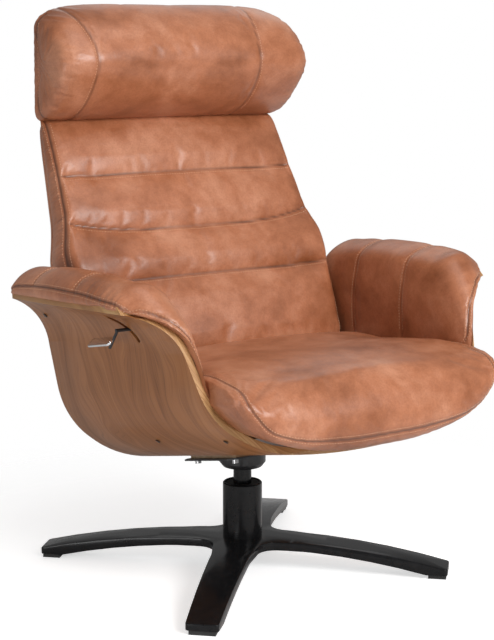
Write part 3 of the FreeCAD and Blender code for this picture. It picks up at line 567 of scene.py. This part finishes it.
def finish_nodes():
    """Gives every carried-over node the finish of its slot."""
    for part in frame["record"]["subparts"]:
        node = frame["nodes"][part["node"]]
        finish = FINISHES[part["material_slot"]]
        if not node.material_slots:
            node.data.materials.append(finish)
        for slot in node.material_slots:
            slot.material = finish


def dressed(piece, finish, slot, body, *nodes):
    """Finish, body and the nodes that a new piece stands for. The slot is not used."""
    piece.data.materials.clear()
    piece.data.materials.append(finish)
    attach(piece, body)
    if nodes:
        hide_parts(*nodes)
    return piece


# Backrest

BACK_FOOT_Y, BACK_FOOT_Z = 0.115, 0.388
BACK_LEAN = math.radians(27.5)
BACK_BOTTOM, BACK_TOP = -0.015, 0.501
PANEL_DEPTH = 0.016
BACK_KEYS = [
    # u, half width, rear v, seam v, corner inset, corner v, middle v
    (-0.015, 0.274, 0.000, 0.048, 0.016, 0.055, 0.062),
    (0.002, 0.283, 0.000, 0.062, 0.016, 0.074, 0.086),
    (0.040, 0.287, 0.000, 0.065, 0.020, 0.084, 0.095),
    (0.085, 0.290, 0.000, 0.067, 0.024, 0.091, 0.099),
    (0.125, 0.292, 0.000, 0.067, 0.024, 0.094, 0.100),
    (0.153, 0.295, 0.000, 0.068, 0.024, 0.094, 0.100),
    (0.188, 0.298, 0.000, 0.070, 0.022, 0.096, 0.100),
    (0.225, 0.297, 0.001, 0.072, 0.018, 0.093, 0.098),
    (0.257, 0.288, 0.003, 0.073, 0.016, 0.089, 0.097),
    (0.295, 0.279, 0.006, 0.074, 0.015, 0.086, 0.096),
    (0.332, 0.276, 0.011, 0.075, 0.015, 0.086, 0.096),
    (0.368, 0.273, 0.015, 0.075, 0.014, 0.085, 0.094),
    (0.405, 0.271, 0.021, 0.075, 0.014, 0.084, 0.093),
    (0.450, 0.269, 0.029, 0.074, 0.014, 0.082, 0.091),
    (0.484, 0.267, 0.037, 0.070, 0.013, 0.077, 0.087),
    (0.501, 0.264, 0.041, 0.061, 0.011, 0.066, 0.075),
]
# u in the middle, how much higher at the sides, depth of the sewn channel
BACK_CHANNELS = ((0.150, 0.008, 0.012), (0.250, 0.029, 0.013), (0.368, 0.006, 0.010))


def on_back(x, u, v):
    """Place on the leaning back: u runs up it and v out of its front."""
    y = BACK_FOOT_Y + u * math.sin(BACK_LEAN) - v * math.cos(BACK_LEAN)
    z = BACK_FOOT_Z + u * math.cos(BACK_LEAN) + v * math.sin(BACK_LEAN)
    return np.stack(np.broadcast_arrays(x, y, z), -1)


def channel_relief(across, u):
    """How far the front sinks at each channel, and how much painted shade lies in its bottom."""
    sunk = np.zeros_like(across * u)
    dark = np.zeros_like(across * u)
    for middle, rise, depth in BACK_CHANNELS:
        above = u - (middle + rise * np.abs(across) ** 3)
        # the roll above a channel hangs over it, the one below slopes away
        wide = np.where(above > 0, 0.010, 0.026)
        roll, groove = np.exp(-np.abs(above) / wide), np.exp(-np.abs(above) / 0.0035)
        sunk = sunk + depth * (0.55 * roll + 0.45 * groove)
        # painted shade along the bottom of the channel
        dark = np.maximum(dark, 0.8 * np.exp(-(above / 0.0017) ** 2))
    fade = np.clip((1.0 - np.abs(across)) / 0.06, 0, 1) ** 0.5
    return sunk * fade, dark * fade


BACK_ROWS, BACK_ACROSS, BACK_SIDE = 150, 96, 12


def back_cushion():
    u = np.linspace(BACK_BOTTOM, BACK_TOP, BACK_ROWS)
    keyed = through(BACK_KEYS, u)
    rings, painted_shade, sewn = [], [], []
    pucker = (folds(u, 0.011, 3), folds(u, 0.012, 4))
    for row, (height, (half, rear, seam, inset, corner, middle)) in enumerate(zip(u, keyed)):
        split = rear + PANEL_DEPTH
        side = np.linspace(0, 1, BACK_SIDE, endpoint=False)
        across = np.linspace(-1, 1, BACK_ACROSS + 1)
        # the front rolls over its corners, so the steps are closer there
        across = np.sin(across * math.pi / 2) * 0.5 + across * 0.5
        x = across * half
        edge = np.clip((half - np.abs(x)) / inset, 0, 1)
        crown = corner + (middle - corner) * (1 - (np.abs(x) / (half - inset + 1e-6)).clip(0, 1) ** 2.4)
        sunk, dark = channel_relief(across, height)
        v = seam + (crown - seam) * np.sqrt(1 - (1 - edge) ** 2) - sunk * np.sqrt(edge)
        v = v - 0.0022 * bump(half - np.abs(x), 0.004)
        x = x * (1 - 0.0024 / half * bump(half - np.abs(x), 0.004))
        near = np.clip((half - np.abs(x)) / 0.030, 0, 1)
        v = v + 0.0011 * np.where(x < 0, pucker[0][row], pucker[1][row]) * near * np.exp(-near * 3.2) * 2
        gather = 0.0024 * side ** 1.3 * (1 - side ** 8)
        ends = [half + 0.001 * (1 - side) + 0.0035 * np.sin(side * math.pi) + gather * fold[row]
                for fold in pucker]
        side_v = split + (seam - split) * side
        front = on_back(x, height, v)
        left = on_back(-ends[0], height, side_v)
        right = on_back(ends[1][::-1], height, side_v[::-1])
        face = np.concatenate([left, front, right])
        count = len(face)
        behind = on_back(np.linspace(half + 0.001, -half - 0.001, count + 2)[1:-1], height,
                         np.full(count, split + 0.0004))
        rings.append(np.concatenate([face, behind]))
        from_side = half - np.abs(across) * half
        # painted shade: in the seams at the front's edges, in the channel bottoms and in the folds of the
        # gathered sides
        seam_dark = 0.85 * bump(from_side, 0.0032)
        crease = 0.35 * np.clip(-side ** 2 * np.array(pucker)[:, row][:, None] - 0.15, 0, 1)
        front_dark = np.maximum(dark, seam_dark)
        painted_shade.append(np.concatenate([crease[0], front_dark, crease[1][::-1], np.zeros(count)]))
        side_hold = 1 - 0.5 * side
        hold = np.concatenate([side_hold, np.maximum(dark, bump(from_side, 0.006)),
                               side_hold[::-1], np.ones(count)])
        tip = min(row, BACK_ROWS - 1 - row)
        sewn.append(np.maximum(hold, max(0.0, 1 - tip / 6)))
    piece = skin("backrest_cushion", rings)
    mark_painted_shade(piece, np.concatenate(painted_shade))
    stuffed(piece, np.concatenate(sewn), 0.0035, 0.004)
    soften(piece)
    seams = []
    at = u[4:-4]
    half, _, seam, *_ = through(BACK_KEYS, at).T
    for sign in (-1, 1):
        seams.append(on_back(sign * (half - 0.0050), at, seam + 0.012))
        seams.append(on_back(sign * (half + 0.004), at, seam - 0.0045))
    stitches("backrest_seam_stitches", piece, seams, "backrest")
    across = np.linspace(-0.955, 0.955, 150)
    rows = []
    for middle, rise, _ in BACK_CHANNELS:
        line = middle + rise * np.abs(across) ** 3 - 0.0052
        half = through(BACK_KEYS, line)[:, 0]
        rows.append(on_back(across * half, line, 0.09))
    stitches("backrest_channel_stitches", piece, rows, "backrest")
    return dressed(piece, LEATHER, "tan_leather", "backrest", "back_cushion")


def back_panel():
    """The rear cover of the back, one piece of leather over a board."""
    rings = []
    u = np.linspace(BACK_BOTTOM, 0.497, 40)
    for height, (half, rear, *_) in zip(u, through(BACK_KEYS, u)):
        split = rear + PANEL_DEPTH - 0.0004
        edge = half + 0.001
        sides = flowing([(-edge, split), (-edge + 0.001, rear + 0.008), (-edge + 0.0034, rear + 0.0023),
                         (-edge + 0.010, rear)], (3, 3, 3))
        flat = np.stack([np.linspace(-edge + 0.010, edge - 0.010, 31)[1:-1], np.full(29, rear)], -1)
        outline = np.concatenate([sides, flat, sides[::-1] * (-1, 1)])
        behind = on_back(outline[:, 0], height, outline[:, 1])
        count = len(behind)
        inner = on_back(np.linspace(edge, -edge, count + 2)[1:-1], height, np.full(count, split))
        rings.append(np.concatenate([behind, inner]))
    piece = skin("backrest_rear_cover", rings)
    soften(piece)
    return dressed(piece, LEATHER, "tan_leather", "backrest", "back_panel")


# Headrest

HEADREST_MIDDLE = ((0.302, 0.852), (0.250, 0.863), (0.190, 0.900), (0.151, 0.971), (0.191, 1.040),
                   (0.262, 1.077), (0.282, 1.080), (0.300, 1.068))
HEADREST_END = ((0.296, 0.857), (0.258, 0.866), (0.207, 0.906), (0.168, 0.969), (0.206, 1.026),
                (0.268, 1.052), (0.281, 1.054), (0.292, 1.046))
# x, share of the end form
HEADREST_SHARE = ((0.0, 0.0), (0.10, 0.01), (0.15, 0.04), (0.195, 0.13), (0.230, 0.30), (0.255, 0.58),
                  (0.268, 0.85), (0.274, 1.0))
# x beyond the widest full section, how far the section is drawn in
HEADREST_DOME = ((0.2705, 0.012), (0.2745, 0.036), (0.2780, 0.070), (0.2808, 0.115), (0.2828, 0.175),
                 (0.2840, 0.26), (0.2846, 0.38), (0.2848, 0.54), (0.2848, 0.70), (0.2848, 0.86))
HEADREST_HALF = 0.266
HEADREST_PANEL_SEAMS = (-0.215, 0.150)
HEADREST_END_SEAM_Y = 0.272


def headrest_ring(x, share, shrink=0.0):
    keys = np.array(HEADREST_MIDDLE) * (1 - share) + np.array(HEADREST_END) * share
    front = flowing(keys, (9, 12, 16, 16, 14, 5, 5))
    back = flowing(keys[[7, 0]], (36,))[1:-1]
    ring = np.concatenate([front, back])
    middle = ring.mean(0)
    ring = middle + (ring - middle) * (1 - shrink)
    return np.column_stack([np.full(len(ring), x), ring])


def panel_seam_x(seam_x, z):
    """The panel seams bow outwards towards the top of the bolster, and hardly at its bottom."""
    return seam_x + math.copysign(1, seam_x) * 0.016 * np.clip((z - 0.965) / 0.09, -0.4, 1.2) ** 2


def headrest_cushion():
    turn = np.linspace(-1, 1, 131) * math.pi / 2 * 0.96
    steps = HEADREST_HALF * np.sin(turn) / math.sin(turn[-1])
    shares = through(HEADREST_SHARE, np.abs(steps))[:, 0]
    rings = [headrest_ring(-x, 0.9, shrink) for x, shrink in reversed(HEADREST_DOME)]
    rings += [headrest_ring(x, share) for x, share in zip(steps, shares)]
    rings += [headrest_ring(x, 0.9, shrink) for x, shrink in HEADREST_DOME]
    piece = skin("headrest_bolster", rings)
    co = coordinates(piece)
    front = co[:, 1] < 0.285
    gap = np.full(len(co), 1.0)
    for seam_x in HEADREST_PANEL_SEAMS:
        gap = np.minimum(gap, np.abs(co[:, 0] - panel_seam_x(seam_x, co[:, 2])))
    end_gap = np.where(np.abs(co[:, 0]) > 0.262, np.abs(co[:, 1] - HEADREST_END_SEAM_Y), 1.0)
    sunk = 0.0016 * bump(gap, 0.007) + 0.0020 * bump(end_gap, 0.007)
    near_end = np.clip((np.abs(co[:, 0]) - 0.21) / 0.06, 0, 1)
    ripple = 0.0009 * near_end * folds(co[:, 2] + 0.2 * co[:, 0], 0.013, 11)
    co = co + normals(piece) * (ripple - sunk * front)[:, None]
    set_coordinates(piece, co)
    # painted shade in the bottoms of the panel seams and the end seams
    mark_painted_shade(piece, front * np.maximum(0.55 * bump(gap, 0.0035), 0.8 * bump(end_gap, 0.004)))
    hold = np.maximum(bump(gap, 0.012) * 0.8, bump(end_gap, 0.01))
    stuffed(piece, np.maximum(hold, co[:, 1] > 0.294), 0.004, 0.003)
    soften(piece)
    lines = []
    z = np.linspace(0.872, 1.066, 60)
    y = through(((0.85, 0.262), (0.90, 0.190), (0.971, 0.150), (1.04, 0.190), (1.075, 0.25)), z)[:, 0]
    for seam_x in HEADREST_PANEL_SEAMS:
        x = panel_seam_x(seam_x, z) + math.copysign(0.0042, seam_x)
        lines.append(np.column_stack([x, y, z]))
    z = np.linspace(0.875, 1.042, 40)
    y = np.full(len(z), HEADREST_END_SEAM_Y - 0.005)
    for sign in (-1, 1):
        lines.append(np.column_stack([np.full(len(z), sign * 0.285), y, z]))
    stitches("headrest_stitches", piece, lines, "headrest")
    return dressed(piece, LEATHER, "tan_leather", "headrest", "headrest_cushion")


# Seat

SEAT_KEYS = [
    # x, then y and z of rear foot, rear top, middle, front top, roll, nose, seam, sole
    (0.000, (0.052, 0.333), (0.030, 0.418), (-0.150, 0.455), (-0.330, 0.459), (-0.408, 0.441),
     (-0.441, 0.390), (-0.436, 0.345), (-0.415, 0.325)),
    (0.100, (0.052, 0.333), (0.030, 0.417), (-0.150, 0.453), (-0.330, 0.458), (-0.407, 0.440),
     (-0.440, 0.390), (-0.434, 0.347), (-0.413, 0.328)),
    (0.196, (0.052, 0.340), (0.030, 0.413), (-0.150, 0.447), (-0.332, 0.456), (-0.406, 0.439),
     (-0.435, 0.393), (-0.428, 0.361), (-0.408, 0.349)),
    (0.243, (0.052, 0.360), (0.030, 0.409), (-0.150, 0.442), (-0.335, 0.455), (-0.402, 0.438),
     (-0.425, 0.404), (-0.416, 0.380), (-0.397, 0.368)),
    (0.275, (0.050, 0.384), (0.030, 0.405), (-0.150, 0.437), (-0.338, 0.454), (-0.394, 0.440),
     (-0.409, 0.420), (-0.403, 0.406), (-0.390, 0.397)),
    (0.2905, (0.046, 0.390), (0.032, 0.399), (-0.150, 0.431), (-0.342, 0.450), (-0.374, 0.444),
     (-0.387, 0.433), (-0.384, 0.426), (-0.374, 0.420)),
]
# Half width of the top panel and the radius of its front corners
SEAT_SEAM_X = 0.272
SEAT_SEAM_BEND = 0.050
# Points from one key to the next: over the cushion from its rear foot, and along x
SEAT_STEPS = (10, 28, 28, 15, 11, 9, 6)
SEAT_ROWS = (5, 8, 10, 18, 16)
# Where the seam runs below the nose, and about how far apart the points are there
SEAT_LOW_SEAM = sum(SEAT_STEPS[:6]) - 1
SEAT_STEP = 0.0034
# Order of the points that aren't on the visible top
BELOW = 999


def seat_cushion():
    keys = np.array([[(row[0], y, z) for y, z in row[1:]] for row in SEAT_KEYS])
    keys = np.concatenate([keys[:0:-1] * (-1, 1, 1), keys])
    rings, marks = [], []
    for row in flowing(keys, SEAT_ROWS + SEAT_ROWS[::-1]):
        over = flowing(row, SEAT_STEPS)
        under = flowing(row[[7, 0]], (len(over) + 1,))[1:-1]
        rings.append(np.concatenate([over, under]))
        marks.append(np.concatenate([np.arange(len(over)), np.full(len(under), BELOW)]))
    piece = skin("seat_cushion_cover", rings)
    co, order = coordinates(piece), np.concatenate(marks)
    # the seam runs round the top panel: down beside the front roll and under the nose
    side = (np.abs(co[:, 0]) - (SEAT_SEAM_X - SEAT_SEAM_BEND)) / SEAT_SEAM_BEND
    down = (order - SEAT_LOW_SEAM + SEAT_SEAM_BEND / SEAT_STEP) * SEAT_STEP / SEAT_SEAM_BEND
    bend = np.hypot(np.maximum(side, 0), np.maximum(down, 0))
    above = order < BELOW
    gap = np.where(above, np.abs(1 - bend) * SEAT_SEAM_BEND, 1.0)
    inside = above & (bend < 1)
    along = co[:, 0] - co[:, 1] + co[:, 2]
    ripple = np.where(inside, 0.0009, 0.0016) * folds(along, 0.013, 21) * np.exp(-gap / 0.012) * above
    sag = 0.0020 * np.sin(co[:, 0] * 17 + 1.1) * np.sin(co[:, 1] * 13 + 0.4)
    sag = sag * np.clip(gap / 0.04, 0, 1) * inside
    co = co + normals(piece) * (ripple + sag - 0.0020 * bump(gap, 0.006))[:, None]
    set_coordinates(piece, co)
    # painted shade in the bottom of the seam round the top panel
    mark_painted_shade(piece, 0.75 * bump(gap, 0.0036))
    stuffed(piece, np.maximum(bump(gap, 0.008), ~above | (co[:, 1] > 0.02)), 0.004, 0.006)
    soften(piece)
    lines = []
    xs = np.array([ring[SEAT_LOW_SEAM // 2][0] for ring in rings])
    for inset in (0.0045, -0.0045):
        # x and place along a ring: from the rear, round the front corner and to the middle
        reach = SEAT_SEAM_BEND - inset
        row = [(SEAT_SEAM_X - inset, 14.0)]
        for turn in np.linspace(0, math.pi / 2, 24):
            row.append((SEAT_SEAM_X - SEAT_SEAM_BEND + reach * math.cos(turn),
                        SEAT_LOW_SEAM + (reach * math.sin(turn) - SEAT_SEAM_BEND) / SEAT_STEP))
        row.append((0.0, row[-1][1]))
        track = flowing(np.array([(x, place, 0.0) for x, place in row]), [24] + [3] * 23 + [70])
        for sign in (-1, 1):
            line = []
            for x, place, _ in track:
                ring = rings[int(np.argmin(np.abs(xs - sign * x)))]
                low = int(place)
                spot = ring[low] + (ring[low + 1] - ring[low]) * (place - low)
                line.append((sign * x, spot[1], spot[2]))
            lines.append(line)
    stitches("seat_stitches", piece, lines, "seat")
    return dressed(piece, LEATHER, "tan_leather", "seat", "seat_cushion")


# Arm pads

# y of a straight section, height of its crown, how far the inner face stands in
PAD_STRAIGHT = ((0.146, 0.588, 0.0), (0.137, 0.596, 0.0), (0.090, 0.605, 0.0), (0.020, 0.612, 0.001),
                (-0.060, 0.615, 0.002), (-0.130, 0.615, 0.004), (-0.180, 0.612, 0.005))
PAD_STRAIGHT_LOW = (0.372, 0.372, 0.376, 0.384, 0.396, 0.408, 0.416)
# angle of a section that fans out round the front, radius of its crown, outer x, low radius, inner face
PAD_FAN = ((97, 0.222, 0.406, 0.030, 0.0055), (106, 0.207, 0.392, 0.028, 0.0060),
           (117, 0.190, 0.366, 0.025, 0.0065), (129, 0.172, 0.345, 0.022, 0.0070),
           (142, 0.156, 0.332, 0.020, 0.0070), (154, 0.144, 0.323, 0.020, 0.0070),
           (165, 0.138, 0.318, 0.020, 0.0070))
PAD_FAN_MIDDLE = (-0.190, 0.388)
PAD_INNER_X = 0.2985
# Points from one key to the next, round a section and along the arm
PAD_STEPS = (9, 10, 9, 9, 9, 6, 7, 4, 4, 6, 6)
PAD_SEAM = sum(PAD_STEPS[:6])
PAD_ROWS = (3, 9, 14, 16, 14, 10, 9, 7, 8, 8, 8, 7, 6)
PAD_STRAIGHT_ROWS = sum(PAD_ROWS[:6])
# y of the two sewn creases across each arm
PAD_CREASES = {"left": (0.032, -0.118), "right": (0.060, -0.083)}


def flange_z(y):
    return 0.545 + 0.0515 * (0.137 - y)


def wall_lean(y):
    """0 at the rear of the shell, 1 at its front, where the walls lean in most."""
    lean = np.clip(-(y + 0.005) / 0.3, 0, 1)
    return lean * lean * (3 - 2 * lean)


def straight_pad(y, top, stand, low):
    flange = flange_z(y)
    out = 0.412 * (1 - 0.022 * wall_lean(y)) + 0.004
    inner = PAD_INNER_X - stand
    outline = ((inner, low), (inner, top - 0.062), (inner + 0.0105, top - 0.026), (0.338, top - 0.006),
               (0.372, top + 0.0005), (out - 0.008, top - 0.017), (out + 0.001, top - 0.030),
               (out - 0.001, flange + 0.010), (out - 0.016, flange + 0.006), (0.368, flange - 0.010),
               (0.340, flange - 0.055), (0.320, low))
    return [(x, y, z) for x, z in outline]


def fan_pad(angle, crown, out, low, stand):
    turn = math.radians(angle)
    inner = PAD_INNER_X - stand
    half = (out - inner) / 2
    mid = inner + half
    outline = ((inner, low), (inner, crown - half * 1.15), (inner + half * 0.25, crown - half * 0.4),
               (mid - half * 0.3, crown - half * 0.05), (mid + half * 0.25, crown),
               (mid + half * 0.66, crown - half * 0.2), (out - 0.0005, crown - half * 0.52),
               (out - 0.0005, crown - half * 0.9), (out - 0.003, crown - half * 1.1),
               (min(out - 0.006, 0.352), crown - half * 1.5),
               (min(out - 0.009, 0.324), crown - half * 2.1 - 0.008), (0.312, low))
    y, z = PAD_FAN_MIDDLE
    return [(x, y + r * math.cos(turn), z + r * math.sin(turn)) for x, r in outline]


# Half section of the outside of the plywood, x and height above its bottom at full size
SHELL_SECTION = ((0.0, 0.0), (0.140, 0.011), (0.203, 0.029), (0.262, 0.066), (0.308, 0.120), (0.328, 0.179),
                 (0.341, 0.256), (0.363, 0.311), (0.412, 0.347))
SHELL_HEIGHT = 0.347
PLY_THICKNESS = 0.013


def wall_x(y, z):
    """Half width of the space between the plywood walls, widening without end above the flange."""
    bottom = 0.2015 + 0.218 * (0.122 - y)
    rise = (z - bottom) / (flange_z(y) - bottom) * SHELL_HEIGHT
    keys = np.array([(high, x) for x, high in SHELL_SECTION] + [(0.400, 0.60)])
    x = through(keys, rise.ravel())[:, 0].reshape(rise.shape)
    out = np.clip((x - 0.341) / 0.071, 0, 1)
    outside = x * (1 - wall_lean(y) * (0.062 * (1 - out) + 0.022 * out))
    # the sheet is thicker across where it flares out
    flare = np.clip((rise - 0.29) / 0.05, 0, 1)
    return outside - PLY_THICKNESS * (1.0 + 0.35 * flare)


def arm_pad(sign, label):
    keys = [straight_pad(*row, low) for row, low in zip(PAD_STRAIGHT, PAD_STRAIGHT_LOW)]
    keys = np.array(keys + [fan_pad(*row) for row in PAD_FAN]) * (sign, 1, 1)
    rings = []
    for row in flowing(keys, PAD_ROWS):
        over = flowing(row, PAD_STEPS)
        under = flowing(row[[11, 0]], (len(over) // 7,))[1:-1]
        ring = np.concatenate([over, under])
        rings.append(ring[:len(ring) // 2 * 2])
    shape = np.array(rings)
    limit = wall_x(shape[:, :, 1], shape[:, :, 2]) - 0.0006
    beyond = np.abs(shape[:, :, 0]) > limit
    shape[:, :, 0] = np.where(beyond, sign * limit, shape[:, :, 0])
    piece = skin("arm_pad_cover_" + label, shape)
    order = np.tile(np.arange(shape.shape[1]), len(shape))
    visible = (order <= sum(PAD_STEPS[:7])) & (order > 1)
    # the seam follows the crown's outer corner, and stays just inside the wood where the wall cuts it off
    seam_line, seam_at = [], []
    for ring, hit in zip(shape, beyond):
        stop = int(np.argmax(hit)) if hit[:PAD_SEAM].any() else PAD_SEAM
        back = 0
        while (stop < PAD_SEAM and stop - back > 3
               and np.linalg.norm(ring[stop] - ring[stop - back]) < 0.009):
            back += 1
        seam_line.append(ring[stop - back])
        seam_at.append(stop - back)
    seam_line = np.array(seam_line)
    for _ in range(8):
        seam_line[1:-1] = (seam_line[:-2] + 2 * seam_line[1:-1] + seam_line[2:]) / 4
    seam_at = np.array(seam_at)
    run = np.concatenate([[0], np.cumsum(np.linalg.norm(np.diff(seam_line, axis=0), axis=1))])
    along = np.repeat(run, shape.shape[1])
    reach = np.linalg.norm(shape - seam_line[:, None], axis=2).ravel()
    co = coordinates(piece)
    straight = np.repeat(np.arange(len(shape)) < PAD_STRAIGHT_ROWS, shape.shape[1]) & (order < PAD_SEAM)
    crease_gap = np.full(len(co), 1.0)
    for at in PAD_CREASES[label]:
        crease_gap = np.where(straight, np.minimum(crease_gap, np.abs(co[:, 1] - at)), crease_gap)
    front = np.clip((along - 0.20) / 0.08, 0, 1)
    ripple = (0.0005 + 0.0013 * front) * folds(along, 0.0095, 31 + sign)
    ripple = ripple * np.exp(-reach / (0.012 + 0.010 * front))
    small = 0.0008 * folds(reach + 0.3 * along, 0.006, 41) * bump(crease_gap, 0.022)
    small = small * np.exp(-np.abs(reach - 0.02) / 0.02)
    puff = (-0.0024 * bump(crease_gap, 0.0065) - 0.0026 * bump(reach, 0.0058)
            - 0.0020 * bump(crease_gap, 0.030))
    free = visible & ~beyond.ravel()
    co = co + normals(piece) * ((ripple + small + puff) * free)[:, None]
    set_coordinates(piece, co)
    # painted shade in the bottoms of the seam and of the sewn creases
    dark = np.maximum(0.85 * bump(reach, 0.0040), 0.45 * bump(crease_gap, 0.0034))
    mark_painted_shade(piece, dark * visible)
    hold = np.maximum(bump(reach, 0.010), 0.85 * bump(crease_gap, 0.012))
    stuffed(piece, np.where(free, hold, 1.0), 0.004, 0.008)
    soften(piece)
    rows = np.arange(4, len(shape) - 6)
    lines = []
    way = shape[rows, seam_at[rows] + 1] - shape[rows, seam_at[rows] - 1]
    way = way / np.linalg.norm(way, axis=1, keepdims=True)
    for aside in (-0.0048, 0.0048):
        lines.append(seam_line[rows] + way * aside)
    for at in PAD_CREASES[label]:
        nearest = int(np.argmin(np.abs(shape[:PAD_STRAIGHT_ROWS, 20, 1] - at)))
        for aside in (0.0040, -0.0040):
            lines.append(shape[nearest, 3:PAD_SEAM - 1] * (1, 0, 1) + (0, at + aside, 0))
    stitches("arm_stitches_" + label, piece, lines, "seat_unit")
    return dressed(piece, LEATHER, "tan_leather", "seat_unit", "arm_pad_" + label)


# Bent shell

def bent_shell():
    """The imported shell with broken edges. Its cut edges are a piece of their own, with the plies showing."""
    sharp = 38
    whole = clean_copy("shell_veneer", "shell", sharp, 0.0008)
    mesh = whole.data
    cut = np.zeros(len(mesh.polygons), bool)
    for face in mesh.polygons:
        n, c = face.normal, face.center
        front = n.y < -0.45 and abs(n.x) < 0.35 and c.y < -0.20 and n.z > -0.30
        rear = n.y > 0.7
        tip = abs(n.x) > 0.8 and abs(c.x) > 0.395
        cut[face.index] = front or rear or tip
    edge = add_object("shell_ply_edges", mesh.copy())
    for piece, unwanted in ((whole, cut), (edge, ~cut)):
        solid = bmesh.new()
        solid.from_mesh(piece.data)
        solid.faces.ensure_lookup_table()
        bmesh.ops.delete(solid, geom=[solid.faces[i] for i in np.nonzero(unwanted)[0]], context="FACES")
        solid.to_mesh(piece.data)
        solid.free()
        piece.data.shade_smooth()
        piece.data.set_sharp_from_angle(angle=math.radians(sharp))
    # along the bent sheet and across its thickness, in metres
    strip = edge.data.uv_layers.new(name="strip")
    for loop in edge.data.loops:
        x, _, z = edge.data.vertices[loop.vertex_index].co
        round_bottom = math.atan2(abs(x), 0.62 - z) * 0.34
        outwards = math.hypot(x * 0.9, z - 0.60)
        strip.data[loop.index].uv = (round_bottom, outwards)
    dressed(edge, PLY_EDGE, "walnut", "seat_unit")
    return dressed(whole, WALNUT, "walnut", "seat_unit", "shell")


def smooth_metal():
    for name, node, finish, slot, body, bevel in (
            ("star_base_casting", "star_base", GLOSS_BLACK, "black_base", "base", 0.0016),
            ("column_tube", "base_column", GLOSS_BLACK, "black_base", "base", 0.0),
            ("swivel_cup", "spindle_cup", SATIN_BLACK, "mechanism_black", "seat_unit", 0.0),
            ("release_paddle", "lever_paddle", CHROME, "chrome", "recline_lever", 0.0008)):
        dressed(clean_copy(name, node, 32, bevel), finish, slot, body, node)


# Room, light and camera

# Added to the floor in the camera's eyes only, so that it is as white as the world behind it
FLOOR_LIFT = 0.60
# Distances from the column between which the camera sees the floor fade into the world
FLOOR_FADE = (0.55, 1.10)
FLOOR_HALF = 6
WORLD_LIGHT = 0.30
LAMPS = (
    # name, place, aim, width and height, watts
    ("front softbox", (0.2, -3.3, 2.2), (0, 0, 0.6), (1.8, 1.2), 110),
    ("overhead softbox", (0.0, -0.7, 3.2), (0, 0, 0.4), (1.8, 1.4), 17),
    ("low side fill", (-3.0, -1.1, 0.40), (0, 0, 0.35), (1.2, 0.6), 15),
    ("rear light", (1.6, 2.2, 2.6), (0, 0, 0.7), (2.0, 1.2), 7),
)
CAMERA_PLACE = (-1.774, -2.542, 1.016)
CAMERA_DOWN, CAMERA_TURN = 9.73, 34.92
CAMERA_LENS, CAMERA_SHIFT = 92.85, 0.0067


def room():
    corners = [(x * FLOOR_HALF, y * FLOOR_HALF, 0) for x, y in ((-1, -1), (1, -1), (1, 1), (-1, 1))]
    floor = mesh_piece("floor", corners, [(0, 1, 2, 3)])
    made, nodes, links, shader = material("pale floor")
    set_inputs(shader, {"Base Color": (0.86, 0.86, 0.86, 1), "Roughness": 0.7})
    by_camera = nodes.new("ShaderNodeLightPath").outputs["Is Camera Ray"]
    glow = nodes.new("ShaderNodeEmission")
    links.new(calculated(nodes, links, "MULTIPLY", by_camera, FLOOR_LIFT), glow.inputs["Strength"])
    both = nodes.new("ShaderNodeAddShader")
    links.new(shader.outputs["BSDF"], both.inputs[0])
    links.new(glow.outputs["Emission"], both.inputs[1])
    far = nodes.new("ShaderNodeVectorMath")
    far.operation = "LENGTH"
    links.new(nodes.new("ShaderNodeTexCoord").outputs["Object"], far.inputs[0])
    fade = spread(nodes, links, far.outputs["Value"], *FLOOR_FADE, 0.0, 1.0)
    edge = nodes.new("ShaderNodeMixShader")
    links.new(calculated(nodes, links, "MULTIPLY", fade, by_camera), edge.inputs["Fac"])
    links.new(both.outputs["Shader"], edge.inputs[1])
    links.new(nodes.new("ShaderNodeBsdfTransparent").outputs["BSDF"], edge.inputs[2])
    links.new(edge.outputs["Shader"], nodes["Material Output"].inputs["Surface"])
    floor.data.materials.append(made)

    world = bpy.data.worlds.new("studio")
    bpy.context.scene.world = world
    world.use_nodes = True
    nodes, links = world.node_tree.nodes, world.node_tree.links
    dim, white = nodes["Background"], nodes.new("ShaderNodeBackground")
    set_inputs(dim, {"Color": (1, 1, 1, 1), "Strength": WORLD_LIGHT})
    set_inputs(white, {"Color": (1, 1, 1, 1), "Strength": 1.0})
    mix = nodes.new("ShaderNodeMixShader")
    links.new(nodes.new("ShaderNodeLightPath").outputs["Is Camera Ray"], mix.inputs["Fac"])
    links.new(dim.outputs["Background"], mix.inputs[1])
    links.new(white.outputs["Background"], mix.inputs[2])
    links.new(mix.outputs["Shader"], nodes["World Output"].inputs["Surface"])


def lamp(name, place, aim, size, watts):
    light = bpy.data.lights.new(name, "AREA")
    light.shape = "RECTANGLE"
    light.size, light.size_y = size
    light.energy = watts
    holder = add_object(name, light)
    holder.location = place
    holder.rotation_mode = "QUATERNION"
    holder.rotation_quaternion = (Vector(aim) - Vector(place)).to_track_quat("-Z", "Y")


def studio():
    for row in LAMPS:
        lamp(*row)
    lens = bpy.data.cameras.new("camera")
    lens.sensor_width = 36.0
    lens.lens = CAMERA_LENS
    lens.shift_x = CAMERA_SHIFT
    camera = add_object("camera", lens)
    camera.location = CAMERA_PLACE
    camera.rotation_euler = (math.radians(90 - CAMERA_DOWN), 0, math.radians(-CAMERA_TURN))
    bpy.context.scene.camera = camera
    bpy.context.scene.view_settings.view_transform = "Standard"


finish_nodes()
back_cushion()
back_panel()
headrest_cushion()
seat_cushion()
arm_pad(1, "left")
arm_pad(-1, "right")
bent_shell()
smooth_metal()
room()
studio()
